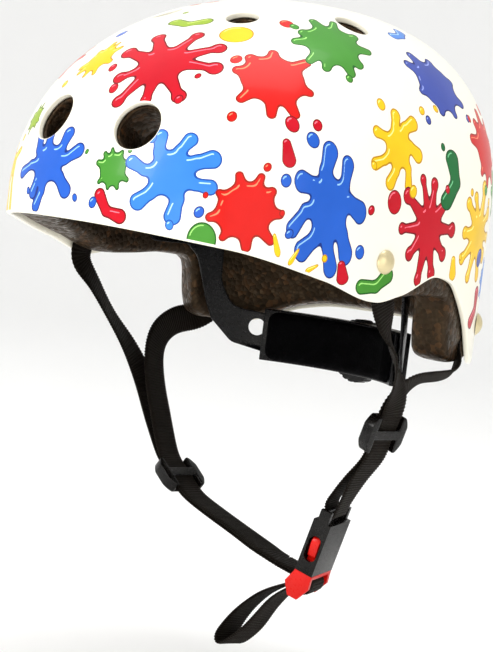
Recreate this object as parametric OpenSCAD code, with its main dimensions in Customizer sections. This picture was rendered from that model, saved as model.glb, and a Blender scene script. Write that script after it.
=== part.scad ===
// Child's round-crown cycling helmet with nape cradle, dial fit and chin straps.
// +Z up as worn, front towards -Y, wearer's left towards +X.
// Origin: centre of the head opening at the level where the shell is widest.

/* [Shell] */
// Overall width of the outer shell
shell_w = 208; // [206:0.5:212]
// Overall length of the outer shell
shell_l = 248; // [246:0.5:252]
// Height of the crown above the widest level
crown_h = 108.7; // [107:0.5:112]
// How far the crown's highest point sits behind the middle
apex_shift = 21.4; // [18:0.2:24]
// Thickness of the moulded outer shell
shell_t = 3; // [2.4:0.1:3]
// Radius of the two large front vents
front_vent_r = 12.3; // [10:0.1:13]

/* [Liner and pads] */
// Depth from the shell's outer face to the liner's inner face
liner_in = 22; // [21:0.5:22]
// Thickness of the comfort pads
pad_t = 5.7; // [4:0.1:6]

/* [Fit cradle] */
// Radius of the cradle band's arc
band_r = 80; // [79.5:0.1:80.2]
// Thickness of the cradle arms
band_t = 1.6; // [1.4:0.1:1.8]
// Radius of the fit dial
dial_r = 17; // [15:0.5:17]

/* [Straps] */
// Width of the webbing
web_w = 15; // [14:0.1:15.4]
// Thickness of the webbing
web_t = 1.5; // [1.2:0.1:1.5]

/* [Hidden] */

crown_p = 2.28;      // fullness of the crown's profile
oval_n = 2.42;       // squareness of the plan outline
gap = 0.4;           // room between the shell and the liner

// ---- smooth curves through hand-chosen knots ----
function sgn(v) = v < 0 ? -1 : 1;
function clip(v, a, b) = min(max(v, a), b);
function unit(v) = v / norm(v);
function sec(k, i) = (k[i + 1][1] - k[i][1]) / (k[i + 1][0] - k[i][0]);
function slope(k, i) = (i <= 0 || i >= len(k) - 1) ? 0 :
  let (a = sec(k, i - 1), b = sec(k, i)) a * b <= 0 ? 0 : 2 * a * b / (a + b);
function seg_of(k, x, i = 0) = (i >= len(k) - 2 || x <= k[i + 1][0]) ? i : seg_of(k, x, i + 1);
function curve(k, x) = let (i = seg_of(k, x), h = k[i + 1][0] - k[i][0], t = clip((x - k[i][0]) / h, 0, 1),
  m0 = slope(k, i) * h, m1 = slope(k, i + 1) * h)
  (2 * t * t * t - 3 * t * t + 1) * k[i][1] + (t * t * t - 2 * t * t + t) * m0
  + (3 * t * t - 2 * t * t * t) * k[i + 1][1] + (t * t * t - t * t) * m1;

// Lower edge of the shell and of the liner: [angle from the front, height]
shell_rim = [[0, -11.3], [45, -15.5], [72, -25.3], [85.5, -33], [99.5, -19], [106, -21.5], [112, -31], [118, -43],
  [124, -57], [130, -62.5], [140, -58], [150, -51.5], [162, -48], [180, -47.5]];
liner_rim = [[0, -10.5], [45, -14.5], [72, -24], [86, -31.5], [99, -29], [106, -29.5], [109, -33], [110, -38], [111, -52],
  [112.5, -60], [116, -62], [128, -61.5], [140, -56], [150, -50], [162, -46.5], [180, -46]];
function fold(phi) = let (p = abs(phi) > 180 ? 360 - abs(phi) : abs(phi)) p;
function rim_shell(phi) = curve(shell_rim, fold(phi));
function rim_liner(phi) = curve(liner_rim, fold(phi));
function rim_liner_in(phi) = rim_liner(phi) + 2.5;

// ---- the helmet's surface, d below the outer face ----
function crown_s(z, h) = z <= 0 ? 1 : pow(max(0, 1 - pow(min(z / h, 1), crown_p)), 1 / crown_p);
function skin(phi, z, d) = let (h = crown_h - d, a = shell_w / 2 - d, b = shell_l / 2 - d, s = crown_s(z, h))
  [a * s * sgn(sin(phi)) * pow(abs(sin(phi)), 2 / oval_n),
   apex_shift * pow(clip(z / h, 0, 1), 1.5) - b * s * sgn(cos(phi)) * pow(abs(cos(phi)), 2 / oval_n), z];
function skin_n(phi, z) = let (a = skin(phi + 1, z, 0) - skin(phi - 1, z, 0),
  b = skin(phi, z + 0.5, 0) - skin(phi, z - 0.5, 0)) unit(cross(a, b));
function up_z(h, k, n) = h * pow(sin(90 * k / n), 2 / crown_p);

half = [0, 8, 16, 24, 32, 40, 48, 56, 63, 69, 74, 78, 82, 86, 90, 94, 98, 102, 105, 107.5, 109, 110, 111, 112.5,
  115, 118, 121, 124, 127, 130, 134, 139, 145, 152, 160, 170];
PHI = concat(half, [180], [for (i = [len(half) - 1:-1:1]) -half[i]]);
NP = len(PHI);
LOW = 4;
UP = 13;
// Rows of one skin from its rim to just under the apex
function skin_rows(d, rim) = [for (j = [0:LOW + UP - 1]) for (i = [0:NP - 1])
  j < LOW ? skin(PHI[i], rim(PHI[i]) * (1 - j / LOW), d)
  : skin(PHI[i], j == LOW ? 0 : up_z(crown_h - d, j - LOW, UP), d)];
module dome(d0, d1, rim0, rim1) {
  nr = LOW + UP;
  n = nr * NP;
  pts = concat(skin_rows(d0, rim0), [skin(0, crown_h - d0, d0)], skin_rows(d1, rim1), [skin(0, crown_h - d1, d1)]);
  quad = [for (j = [0:nr - 2]) for (i = [0:NP - 1]) let (k = (i + 1) % NP)
    each [[j * NP + i, (j + 1) * NP + k, j * NP + k], [j * NP + i, (j + 1) * NP + i, (j + 1) * NP + k]]];
  cap = [for (i = [0:NP - 1]) let (k = (i + 1) % NP) [(nr - 1) * NP + i, n, (nr - 1) * NP + k]];
  outer = concat(quad, cap);
  inner = [for (f = outer) [f[0] + n + 1, f[2] + n + 1, f[1] + n + 1]];
  lip = [for (i = [0:NP - 1]) let (k = (i + 1) % NP) each [[i, k, n + 1 + k], [i, n + 1 + k, n + 1 + i]]];
  polyhedron(points = pts, faces = concat(outer, inner, lip), convexity = 6);
}
// A patch of the wall between two depths
module patch(p0, p1, z0, z1, d0, d1, np = 8, nz = 5) {
  m = (np + 1) * (nz + 1);
  pts = [for (d = [d0, d1]) for (j = [0:nz]) for (i = [0:np]) skin(p0 + (p1 - p0) * i / np, z0 + (z1 - z0) * j / nz, d)];
  w = np + 1;
  top = [for (j = [0:nz - 1]) for (i = [0:np - 1]) let (a = j * w + i) each [[a, a + w + 1, a + 1], [a, a + w, a + w + 1]]];
  bot = [for (f = top) [f[0] + m, f[2] + m, f[1] + m]];
  e0 = [for (i = [0:np - 1]) each [[i, i + 1, m + i + 1], [i, m + i + 1, m + i]]];
  e1 = [for (i = [0:np - 1]) let (a = nz * w + i) each [[a, m + a + 1, a + 1], [a, m + a, m + a + 1]]];
  e2 = [for (j = [0:nz - 1]) let (a = j * w) each [[a, m + a + w, a + w], [a, m + a, m + a + w]]];
  e3 = [for (j = [0:nz - 1]) let (a = j * w + np) each [[a, a + w, m + a + w], [a, m + a + w, m + a]]];
  polyhedron(points = pts, faces = concat(top, bot, e0, e1, e2, e3), convexity = 4);
}
module along(n) rotate([0, acos(n[2]), atan2(n[1], n[0])]) children();
module at_skin(phi, z, d = 0) translate(skin(phi, z, d)) along(skin_n(phi, z)) children();

// ---- vents: [angle, height, radius] ----
vents = [[13, 36.2, front_vent_r], [-13, 36.2, front_vent_r], [21.7, 94, 8], [-21.7, 94, 8], [77.7, 98, 8.8], [-77.7, 98, 8.8],
  [140, 93, 8.8], [-140, 93, 8.8], [158, 42, 11], [-158, 42, 11]];
module vent_cuts(shrink, depth) for (v = vents) at_skin(v[0], v[1])
  hull() { translate([0, 0, 6]) cylinder(r = v[2] - shrink, h = 0.1, $fn = 32); translate([0, 0, -depth]) cylinder(r = v[2] - shrink - 0.3, h = 0.1, $fn = 32); }

// ---- rivets ----
rivet_front = [86.3, -13.6];
rivet_rear = [131, -42];
module each_rivet(list) for (r = list) for (s = [1, -1]) at_skin(s * r[0], r[1]) children();

module outer_shell() color("ivory") difference() {
  dome(0, shell_t, function(p) rim_shell(p), function(p) rim_shell(p));
  vent_cuts(0, 12);
  each_rivet([rivet_front, rivet_rear]) translate([0, 0, -8]) cylinder(r = 2.3, h = 16, $fn = 24);
}
module eps_liner() color([0.1, 0.09, 0.08]) difference() {
  dome(shell_t + gap, liner_in, function(p) rim_liner(p), function(p) rim_liner_in(p));
  vent_cuts(1.2, 34);
  for (s = [1, -1]) {
    patch(s > 0 ? 62 : -95, s > 0 ? 95 : -62, -46, 4, 2.4, 7, 8, 3);
    patch(s > 0 ? 111 : -143, s > 0 ? 143 : -111, -74, -22, 2.4, 7, 8, 3);
    translate([s * 78, pin_y, pin_z]) rotate([0, s * 90, 0]) cylinder(r = 3.25, h = 14, $fn = 32);
  }
  each_rivet([rivet_front, rivet_rear]) translate([0, 0, -9.6]) cylinder(r = 6.4, h = 12, $fn = 32);
}

// ---- comfort pads ----
pad_d = liner_in + 0.8;
module brow_pad() color([0.14, 0.14, 0.15]) patch(-46, 46, -3, 17, pad_d, pad_d + pad_t, 16, 3);
module left_side_pad() color([0.14, 0.14, 0.15]) patch(63, 87, -14, 20, pad_d, pad_d + pad_t, 6, 4);
module right_side_pad() color([0.14, 0.14, 0.15]) patch(-87, -63, -14, 20, pad_d, pad_d + pad_t, 6, 4);
module rear_pad() color([0.14, 0.14, 0.15]) patch(150, 210, -16, 14, pad_d, pad_d + pad_t, 12, 4);
// Height of a skin above a point r away from the apex line, towards the angle a
function drop(r, a, d) = let (h = crown_h - d, q = min(0.98, norm([r * sin(a) / (shell_w / 2 - d), r * cos(a) / (shell_l / 2 - d)])))
  h * pow(1 - pow(q, crown_p), 1 / crown_p);
// Round pad under the crown
module crown_pad() color([0.14, 0.14, 0.15]) {
  ring = [for (i = [0:23]) i * 15];
  rad = [30, 20, 10];
  pts = [for (d = [pad_d + 1.2, pad_d + 1.2 + pad_t]) each concat([for (r = rad) for (a = ring) [r * sin(a), 20 - r * cos(a), drop(r, a, d) - 0.8 * r / 30]],
    [[0, 20, drop(0, 0, d)]])];
  m = 24 * 3 + 1;
  q = [for (j = [0, 1]) for (i = [0:23]) let (k = (i + 1) % 24, a = j * 24) each [[a + i, a + 24 + k, a + k], [a + i, a + 24 + i, a + 24 + k]]];
  c = [for (i = [0:23]) let (k = (i + 1) % 24) [48 + i, 72, 48 + k]];
  top = concat(q, c);
  bot = [for (f = top) [f[0] + m, f[2] + m, f[1] + m]];
  e = [for (i = [0:23]) let (k = (i + 1) % 24) each [[i, k, m + k], [i, m + k, m + i]]];
  polyhedron(points = pts, faces = concat(top, bot, e), convexity = 3);
}

// ---- rivets, washers and pins ----
module rivet() {
  translate([0, 0, -8.2]) cylinder(r = 2, h = 8.6, $fn = 32);
  translate([0, 0, -8.6]) cylinder(r = 3, h = 0.8, $fn = 32);
  translate([0, 0, 0.3]) intersection() {
    translate([0, 0, -4.2]) sphere(r = 7.2, $fn = 48);
    cylinder(r = 5.8, h = 6, $fn = 48);
  }
}
module front_rivets() color([0.86, 0.82, 0.7]) each_rivet([rivet_front]) rivet();
module rear_rivets() color([0.86, 0.82, 0.7]) each_rivet([rivet_rear]) rivet();
module rivet_washers() color([0.2, 0.2, 0.2]) each_rivet([rivet_front, rivet_rear]) translate([0, 0, -7.5]) difference() {
  cylinder(r = 5.5, h = 1, $fn = 32);
  translate([0, 0, -1]) cylinder(r = 2.2, h = 3, $fn = 32);
}

// ---- nape cradle ----
band_c = 7;          // the band's arc is centred this far behind the origin
dial_z = -67.5;      // height of the dial's axle
pin_y = 20.9;        // the temple pins, which the cradle tilts on
pin_z = -15;
pitch_r = 4.8;       // pinion with 12 teeth
tooth_a = 1.8;       // one tooth of the racks, as an angle of the band
r_in = band_r - band_t / 2;
r_out = band_r + band_t / 2;
// Part of a ring about the band's axis, angles from the back towards the wearer's left
module arc_seg(r0, r1, z0, z1, t0, t1) translate([0, band_c, 0]) rotate([0, 0, 90 - t1])
  rotate_extrude(angle = t1 - t0, $fn = 120) translate([r0, z0]) square([r1 - r0, z1 - z0]);
module radial_hole(t, z, r) translate([0, band_c, z]) rotate([0, 0, -t]) translate([0, 60, 0]) rotate([-90, 0, 0]) cylinder(r = r, h = 40, $fn = 32);
module rack_tooth(t, z, s) translate([0, band_c, 0]) rotate([0, 0, -t]) translate([0, r_out - 0.2, z]) rotate([90, 0, 0])
  hull() linear_extrude(band_t - 0.4) polygon([[-0.75, s * 0.4], [0.75, s * 0.4], [0.6, 0], [0.25, -s * 1.3], [-0.25, -s * 1.3], [-0.6, 0]]);
// s = 1: rack above the pinion, s = -1: rack below it
module arm(s) {
  difference() {
    union() {
      if (s > 0) arc_seg(r_in, r_out, dial_z + 5.65, dial_z + 10, -13, 30);
      else arc_seg(r_in, r_out, dial_z - 10, dial_z - 5.65, -13, 30);
      if (s < 0) arc_seg(r_in, r_out, dial_z - 10, -55, 23, 30);
      arc_seg(r_in, r_out, -73, -54.6, 23, 54);
      arc_seg(r_in, r_out, -67, -47, 52, 67);
      arc_seg(r_in, r_out, -60, -9, 57, 67);
      arc_seg(r_in, r_out, -22, -8, 57, 91);
    }
    radial_hole(40.5, -62.5, 4.6);
    arc_seg(60, 100, pin_z - 3.35, pin_z + 3.35, 72.4, 87.6);
  }
  for (k = [-6:5]) rack_tooth((k + 0.5) * tooth_a, dial_z + s * 5.65, s);
}
module left_arm() color([0.07, 0.07, 0.09]) arm(1);
module right_arm() color([0.07, 0.07, 0.09]) mirror([1, 0, 0]) arm(-1);
module cradle_housing() color([0.08, 0.08, 0.08]) {
  arc_seg(76.6, 78.2, -79.8, -52, -38, 38);
  arc_seg(78.2, 83, -53.5, -52, -38, 38);
  arc_seg(78.2, 83, -79.8, -78.2, -38, 38);
}
module housing_cover() color([0.06, 0.06, 0.06]) difference() {
  arc_seg(83, 84.8, -79.8, -52, -38, 38);
  translate([0, 70, dial_z]) rotate([-90, 0, 0]) cylinder(r = 3.05, h = 40, $fn = 48);
}
module cradle_pad() color([0.1, 0.1, 0.1]) arc_seg(72.2, 76.5, -79, -53, -36, 36);
module dial_knob() color([0.09, 0.09, 0.09]) translate([0, band_c + 85.3, dial_z]) rotate([-90, 0, 0]) difference() {
  union() {
    cylinder(r = dial_r, h = 6, $fn = 96);
    translate([0, 0, 6]) cylinder(r1 = dial_r, r2 = dial_r - 2.5, h = 2, $fn = 96);
  }
  for (i = [0:23]) rotate([0, 0, i * 15]) translate([dial_r + 0.4, 0, -1]) cylinder(r = 1.1, h = 10, $fn = 24);
  translate([0, 0, -1]) cylinder(r = 2.4, h = 6, $fn = 48);
}
module dial_pinion() color([0.75, 0.75, 0.72]) translate([0, band_c, dial_z]) rotate([-90, 0, 0]) {
  translate([0, 0, 81.6]) cylinder(r = 3, h = 3.6, $fn = 48);
  translate([0, 0, 85.2]) cylinder(r = 2.4, h = 3.6, $fn = 48);
  translate([0, 0, 78.6]) cylinder(r = 3.7, h = 3.1, $fn = 48);
  for (i = [0:11]) rotate([0, 0, i * 30]) translate([0, 0, 78.6]) linear_extrude(2.8)
    polygon([[3.2, -0.75], [pitch_r, -0.55], [5.4, -0.22], [5.4, 0.22], [pitch_r, 0.55], [3.2, 0.75]]);
}
module temple_pins() color([0.15, 0.15, 0.15]) for (s = [1, -1]) translate([s * 76.4, pin_y, pin_z]) rotate([0, s * 90, 0]) {
  cylinder(r = 3, h = 15, $fn = 48);
  translate([0, 0, -1.4]) cylinder(r = 5.2, h = 1.4, $fn = 48);
}

// ---- webbing ribbons ----
function cr(a, b, c, d, t) = 0.5 * ((2 * b) + (c - a) * t + (2 * a - 5 * b + 4 * c - d) * t * t + (3 * b - a - 3 * c + d) * t * t * t);
function smooth(p, n) = let (m = len(p)) concat([for (i = [0:m - 2]) for (j = [0:n - 1])
  cr(p[max(i - 1, 0)], p[i], p[i + 1], p[min(i + 2, m - 1)], j / n)], [p[m - 1]]);
// p = [[point, width direction], ...]
module ribbon(p, n = 3) {
  c = smooth([for (q = p) q[0]], n);
  wd = smooth([for (q = p) q[1]], n);
  m = len(c);
  pts = [for (i = [0:m - 1]) let (t = unit(c[min(i + 1, m - 1)] - c[max(i - 1, 0)]), w0 = wd[i] - (wd[i] * t) * t,
    w = unit(w0) * web_w / 2, nn = unit(cross(t, w0)) * web_t / 2) each [c[i] + w + nn, c[i] - w + nn, c[i] - w - nn, c[i] + w - nn]];
  side = [for (i = [0:m - 2]) for (k = [0:3]) let (a = 4 * i + k, b = 4 * i + (k + 1) % 4) each [[a, b, b + 4], [a, b + 4, a + 4]]];
  polyhedron(points = pts, faces = concat([[0, 3, 2], [0, 2, 1]], side, [[4 * m - 4, 4 * m - 3, 4 * m - 2], [4 * m - 4, 4 * m - 2, 4 * m - 1]]), convexity = 6);
}
Y = [0, 1, 0];

// The buckle hangs tilted; its own axes: bt thickness, bw width, bd down
buckle_at = [63.5, 20, -141];
buckle_tilt = 17.5;
buckle_turn = 16.5;
bd = [-sin(buckle_tilt), 0, -cos(buckle_tilt)];
bt = [cos(buckle_turn) * cos(buckle_tilt), sin(buckle_turn), -cos(buckle_turn) * sin(buckle_tilt)];
bw = [-sin(buckle_turn) * cos(buckle_tilt), cos(buckle_turn), sin(buckle_turn) * sin(buckle_tilt)];
function bk(x, y, z) = buckle_at + bt * x + bw * y - bd * z;
module buckle_frame() translate(buckle_at) rotate([0, buckle_tilt, 0]) rotate([0, 0, buckle_turn]) children();
function wrap(cx, cz, r, a0, a1, n) = [for (i = [0:n]) let (a = a0 + (a1 - a0) * i / n) [bk(cx + r * cos(a), 0, cz + r * sin(a)), bw]];

// Where the two straps of a side run together through their slider
ls = [86, 22, -98];
ld = bd;
ln = [cos(buckle_tilt), 0, -sin(buckle_tilt)];
rs = [-49, 20, -143];
rd = [cos(38), 0, -sin(38)];
rn = [sin(38), 0, cos(38)];
lay = 0.85;

// A point of the flank at depth d, with the level direction along it
function flank(s, y, d) = s * (shell_w / 2 - d) * pow(1 - pow(abs(y) / (shell_l / 2 - d), oval_n), 1 / oval_n);
function side(s, y, z, d) = [[flank(s, y, d), y, z], [(flank(s, y + 1, d) - flank(s, y - 1, d)) / 2, 1, 0]];
fl = 5;      // depth of the front webbing inside the shell
rl = 4.9;    // depth of the rear webbing inside the shell
function pair(o, d, n, ks, side, flare, w) = [for (k = ks) [o + k * d + side * (lay + (k < -10 ? flare : 0)) * n, w]];

module left_front_strap() color([0.06, 0.06, 0.06]) ribbon(concat([side(1, -17, -3, fl), side(1, -13, -13, fl), side(1, -8, -25, fl),
  [[98.3, -4, -35], [0.05, 1, 0]], [[97.5, 2, -46], [-0.35, 0.95, 0]], [[97, 9, -57], [-0.8, 0.6, -0.1]], [[97.8, 14, -70], [-0.45, 0.9, 0]]],
  pair(ls, ld, ln, [-14, -5, 5, 14], 1, 0.35, Y),
  [[[75, 21.5, -122.5], [-0.1, 1, 0]], [bk(3.2, 0, 6), bw]], wrap(0, 0, 2.65, 10, -84, 4)), 2);
module left_rear_strap() color([0.07, 0.07, 0.07]) ribbon(concat([
  [skin(134.5, -35, rl), [0.42, -0.42, 0.8]], [skin(131, -42, rl), [0.42, -0.42, 0.8]], [skin(126, -49, rl), [0.42, -0.42, 0.8]], [skin(121.5, -56, rl), [0.42, -0.5, 0.75]],
  [[92, 64, -64.5], [0.7, -0.3, 0.6]], [[92.5, 55, -68], [0.8, 0, 0.5]], [[92, 43, -69], [0.8, 0.1, 0.5]], [[91.2, 29, -74], [0.5, -0.5, 0.7]]],
  pair(ls, ld, ln, [-14, -5, 5, 14], -1, 0.35, -Y),
  [[[72.5, 20, -121.5], [0.1, -1, 0]], [bk(-3.2, 0, 6), -bw]], [for (q = wrap(0, 0, 2.65, 170, 264, 4)) [q[0], -q[1]]]), 2);
module right_front_strap() color([0.06, 0.06, 0.06]) ribbon(concat([side(-1, -11, -3, fl), side(-1, -15, -13, fl), side(-1, -22, -25, fl),
  [[-97.6, -25, -35], [-0.1, 1, 0.1]],
  [[-96, -15, -47], [-0.5, 0.9, 0.3]], [[-92.5, -3, -64], [-0.6, 0.9, 0.2]], [[-88, 9, -80], [-0.3, 1, 0.1]], [[-82, 17, -97], [0, 1, 0]], [[-72.5, 19.5, -117], [0, 1, 0]]],
  pair(rs, rd, rn, [-13.5, -5, 5, 13.5], -1, 0, Y),
  [[[-22, 19, -157.5], Y], [[4, 17.5, -164.5], Y]], [[bk(-26, 0, -37.6), bw], [bk(-17.4, 0, -38.1), bw]]), 2);
module right_rear_strap() color([0.07, 0.07, 0.07]) ribbon(concat([
  [skin(-134.5, -35, rl), [-0.42, -0.42, 0.8]], [skin(-131, -42, rl), [-0.42, -0.42, 0.8]], [skin(-126, -48, rl), [-0.42, -0.42, 0.8]], [skin(-121, -54, rl), [-0.42, -0.42, 0.8]],
  [[-92.7, 61.5, -62], [-0.4, -0.1, 0.9]], [[-93, 46, -65], [-0.15, -0.3, 0.93]], [[-89.5, 32, -72], [-0.1, -0.75, 0.6]],
  [[-85, 25, -82], [0, -1, 0.3]], [[-78, 21.5, -97], [0, -1, 0.1]], [[-69, 20, -114], -Y]],
  pair(rs, rd, rn, [-13.5, -5, 5, 13.5], 1, 0, -Y),
  [[[-21.5, 19, -155.7], -Y], [[4.5, 17.5, -162.7], -Y]], [[bk(-26, 0, -35.8), -bw], [bk(-17.4, 0, -36.35), -bw]]), 2);
// The free loop, which passes round the bar of the male half
module right_strap_tail() color([0.06, 0.06, 0.06]) ribbon(concat(
  [[bk(-15.5, 0, -38.15), bw], [bk(-8, 0, -38.1), bw]], wrap(0.5, -40.5, 2.65, 95, -90, 5), [[bk(-6, 0, -43.6), bw]],
  [[[33, 17, -186], [0, 1, 0.1]], [[22, 18, -192.5], [0, 1, 0.1]], [[10, 19, -203], [0.1, 1, 0.1]], [[1, 20, -214], [0.2, 1, 0.1]], [[-2, 20, -220.5], [0.2, 1, 0]],
   [[0.5, 20, -223.2], [0.2, 1, 0]], [[5, 20, -221], [0.2, 1, 0]], [[17, 19.5, -211], [0.1, 1, 0]], [[27, 18.5, -199], [0, 1, 0.1]], [[36, 17.5, -189.5], [0, 1, 0.1]]],
  [[bk(-5.5, 0, -45.4), bw]], wrap(0.5, -40.5, 4.4, -95, 92, 6), [[bk(-8, 0, -36.3), bw], [bk(-15.5, 0, -36.4), bw]]), 2);

// Slider frame: rails beside the webbing, one bar in front of it, two behind
module slider_body() {
  difference() {
    linear_extrude(6.4, center = true) intersection() {
      circle(r = 13.7, $fn = 64);
      square([26, 19], center = true);
    }
    cube([16.4, 40, 4.2], center = true);
    for (s = [1, -1]) translate([0, s * 6.6, 3.5]) cube([16.4, 8.2, 7], center = true);
    translate([0, 0, -3.5]) cube([16.4, 9, 7], center = true);
  }
}
// Places a slider: its length along dd, its width along Y
module left_slider() color([0.05, 0.05, 0.05]) translate(ls) rotate([0, buckle_tilt, 0]) rotate([90, 0, 90]) slider_body();
module right_slider() color([0.05, 0.05, 0.05]) translate(rs) rotate([0, -52, 0]) rotate([90, 0, 90]) slider_body();

// ---- side-release buckle ----
module buckle_female() color([0.05, 0.05, 0.05]) buckle_frame() difference() {
  union() {
    translate([-5, -11, -33]) cube([10, 22, 28.4]);
    for (s = [1, -1]) translate([-3, s * 9.9 - 1.1, -5]) cube([6, 2.2, 6.6]);
    translate([0, 11, 0]) rotate([90, 0, 0]) cylinder(r = 1.6, h = 22, $fn = 32);
  }
  translate([-3.3, -9.3, -34]) cube([6.6, 18.6, 26]);
  for (s = [1, -1]) hull() for (z = [-23, -16]) translate([0, s * 8, z]) rotate([-90 * s, 0, 0]) cylinder(r = 3.4, h = 6, $fn = 32);
}
module buckle_male() color([0.8, 0.05, 0.03]) buckle_frame() {
  translate([-5, -11, -35.1]) cube([10, 22, 1.9]);
  translate([-2.4, -2.5, -33.3]) cube([4.8, 5, 12]);
  for (s = [1, -1]) translate([0, s * 10 + 1, 0]) rotate([90, 0, 0]) linear_extrude(2)
    polygon([[-5, -34], [5, -34], [5.6, -40], [1.5, -47.5], [-4, -47.5], [-8, -41]]);
  translate([0.5, 10, -40.5]) rotate([90, 0, 0]) cylinder(r = 1.6, h = 20, $fn = 32);
}
// s = 1 rear, s = -1 front; the rounded root is its hinge line
module prong(s) buckle_frame() translate([-2.4, 0, 0]) rotate([90, 0, 90]) {
  linear_extrude(4.8) polygon([for (q = [[5.4, -31.9], [7.4, -31.9], [7.5, -25], [9.0, -24], [10.3, -18], [10.3, -15.6], [8.9, -13.6], [5.5, -13.6]]) [s * q[0], q[1]]]);
  translate([s * 6.4, -31.9, 0]) cylinder(r = 1, h = 4.8, $fn = 48);
}
module buckle_prong_rear() color([0.85, 0.05, 0.03]) prong(1);
module buckle_prong_front() color([0.85, 0.05, 0.03]) prong(-1);

outer_shell();
eps_liner();
brow_pad();
crown_pad();
left_side_pad();
right_side_pad();
rear_pad();
front_rivets();
rear_rivets();
rivet_washers();
temple_pins();
left_arm();
right_arm();
cradle_housing();
housing_cover();
cradle_pad();
dial_knob();
dial_pinion();
left_front_strap();
left_rear_strap();
right_front_strap();
right_rear_strap();
right_strap_tail();
left_slider();
right_slider();
buckle_female();
buckle_male();
buckle_prong_front();
buckle_prong_rear();
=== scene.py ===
import math
import random

import bmesh
import bpy
import numpy as np
from mathutils import Matrix, Vector, geometry


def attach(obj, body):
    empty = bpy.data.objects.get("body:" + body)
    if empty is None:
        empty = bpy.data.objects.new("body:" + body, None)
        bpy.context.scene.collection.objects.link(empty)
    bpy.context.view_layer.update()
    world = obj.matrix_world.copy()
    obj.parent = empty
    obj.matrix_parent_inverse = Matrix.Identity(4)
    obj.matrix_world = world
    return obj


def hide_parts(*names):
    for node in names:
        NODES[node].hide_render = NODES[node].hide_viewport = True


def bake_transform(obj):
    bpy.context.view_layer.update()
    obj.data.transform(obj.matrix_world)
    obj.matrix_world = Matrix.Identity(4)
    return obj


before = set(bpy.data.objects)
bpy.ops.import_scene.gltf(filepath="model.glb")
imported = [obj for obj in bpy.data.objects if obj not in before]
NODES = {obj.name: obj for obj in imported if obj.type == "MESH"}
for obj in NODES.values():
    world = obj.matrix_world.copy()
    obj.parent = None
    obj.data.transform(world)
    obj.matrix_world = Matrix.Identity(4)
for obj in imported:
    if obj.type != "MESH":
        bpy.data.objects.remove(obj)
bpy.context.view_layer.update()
MM = 0.001
V3 = lambda *v: np.array(v, float)


def unit(v):
    v = np.asarray(v, float)
    return v / np.maximum(np.linalg.norm(v, axis=-1, keepdims=True), 1e-12)


# ------------------------------------------------------------------ materials
def mat(name, color, rough=0.5, spec=0.5, metal=0.0, coat=0.0, coat_rough=0.05, sheen=0.0, sheen_tint=None):
    m = bpy.data.materials.new(name)
    m.use_nodes = True
    nt = m.node_tree
    b = nt.nodes["Principled BSDF"]
    b.inputs["Base Color"].default_value = (*color, 1)
    b.inputs["Roughness"].default_value = rough
    b.inputs["Specular IOR Level"].default_value = spec
    b.inputs["Metallic"].default_value = metal
    b.inputs["Coat Weight"].default_value = coat
    b.inputs["Coat Roughness"].default_value = coat_rough
    b.inputs["Sheen Weight"].default_value = sheen
    if sheen:
        b.inputs["Sheen Roughness"].default_value = 0.45
        b.inputs["Sheen Tint"].default_value = (*(sheen_tint or (1, 1, 1)), 1)
    return m, nt, b


def node(nt, kind, **kw):
    n = nt.nodes.new(kind)
    for k, v in kw.items():
        if k in n.inputs:
            n.inputs[k].default_value = v
        else:
            setattr(n, k, v)
    return n


def coords(nt, scale=1.0, which="Object"):
    tc = nt.nodes.new("ShaderNodeTexCoord")
    mp = nt.nodes.new("ShaderNodeMapping")
    nt.links.new(tc.outputs[which], mp.inputs["Vector"])
    s = scale if hasattr(scale, "__len__") else (scale,) * 3
    mp.inputs["Scale"].default_value = s
    return mp.outputs["Vector"]


def noise(nt, vec, scale, detail=2.0, rough=0.5):
    n = nt.nodes.new("ShaderNodeTexNoise")
    nt.links.new(vec, n.inputs["Vector"])
    n.inputs["Scale"].default_value = scale
    n.inputs["Detail"].default_value = detail
    n.inputs["Roughness"].default_value = rough
    return n.outputs["Fac"]


def ramp(nt, fac, stops):
    r = nt.nodes.new("ShaderNodeValToRGB")
    nt.links.new(fac, r.inputs["Fac"])
    el = r.color_ramp.elements
    while len(el) < len(stops):
        el.new(0.5)
    for e, (p, c) in zip(el, stops):
        e.position = p
        e.color = (*c, 1) if len(c) == 3 else c
    return r.outputs["Color"]


def maprange(nt, fac, a, b, c, d):
    n = nt.nodes.new("ShaderNodeMapRange")
    nt.links.new(fac, n.inputs["Value"])
    for k, v in zip(("From Min", "From Max", "To Min", "To Max"), (a, b, c, d)):
        n.inputs[k].default_value = v
    return n.outputs["Result"]


def bump(nt, b, height, strength, dist, prev=None):
    n = nt.nodes.new("ShaderNodeBump")
    nt.links.new(height, n.inputs["Height"])
    n.inputs["Strength"].default_value = strength
    n.inputs["Distance"].default_value = dist
    if prev is not None:
        nt.links.new(prev, n.inputs["Normal"])
    nt.links.new(n.outputs["Normal"], b.inputs["Normal"])
    return n.outputs["Normal"]


def srgb(r, g, b):
    f = lambda c: (c / 255 / 12.92) if c / 255 <= 0.04045 else ((c / 255 + 0.055) / 1.055) ** 2.4
    return (f(r), f(g), f(b))


def lacquer(name, rgb, var=0.06, rough=0.3, coat=0.1, spec=0.15):
    m, nt, b = mat(name, rgb, rough=rough, spec=spec, coat=coat, coat_rough=0.06)
    v = coords(nt, 1.0)
    big = noise(nt, v, 38.0, 3.0)
    lo = tuple(c * (1 - var) for c in rgb)
    hi = tuple(min(1, c * (1 + var * 0.6) + 0.002) for c in rgb)
    nt.links.new(ramp(nt, big, [(0.3, lo), (0.7, hi)]), b.inputs["Base Color"])
    fine = noise(nt, v, 900.0, 2.0)
    nt.links.new(maprange(nt, fine, 0.3, 0.7, rough * 0.94, rough * 1.06), b.inputs["Roughness"])
    peel = noise(nt, v, 260.0, 1.0)
    bump(nt, b, peel, 0.02, 0.0002)
    return m


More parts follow.
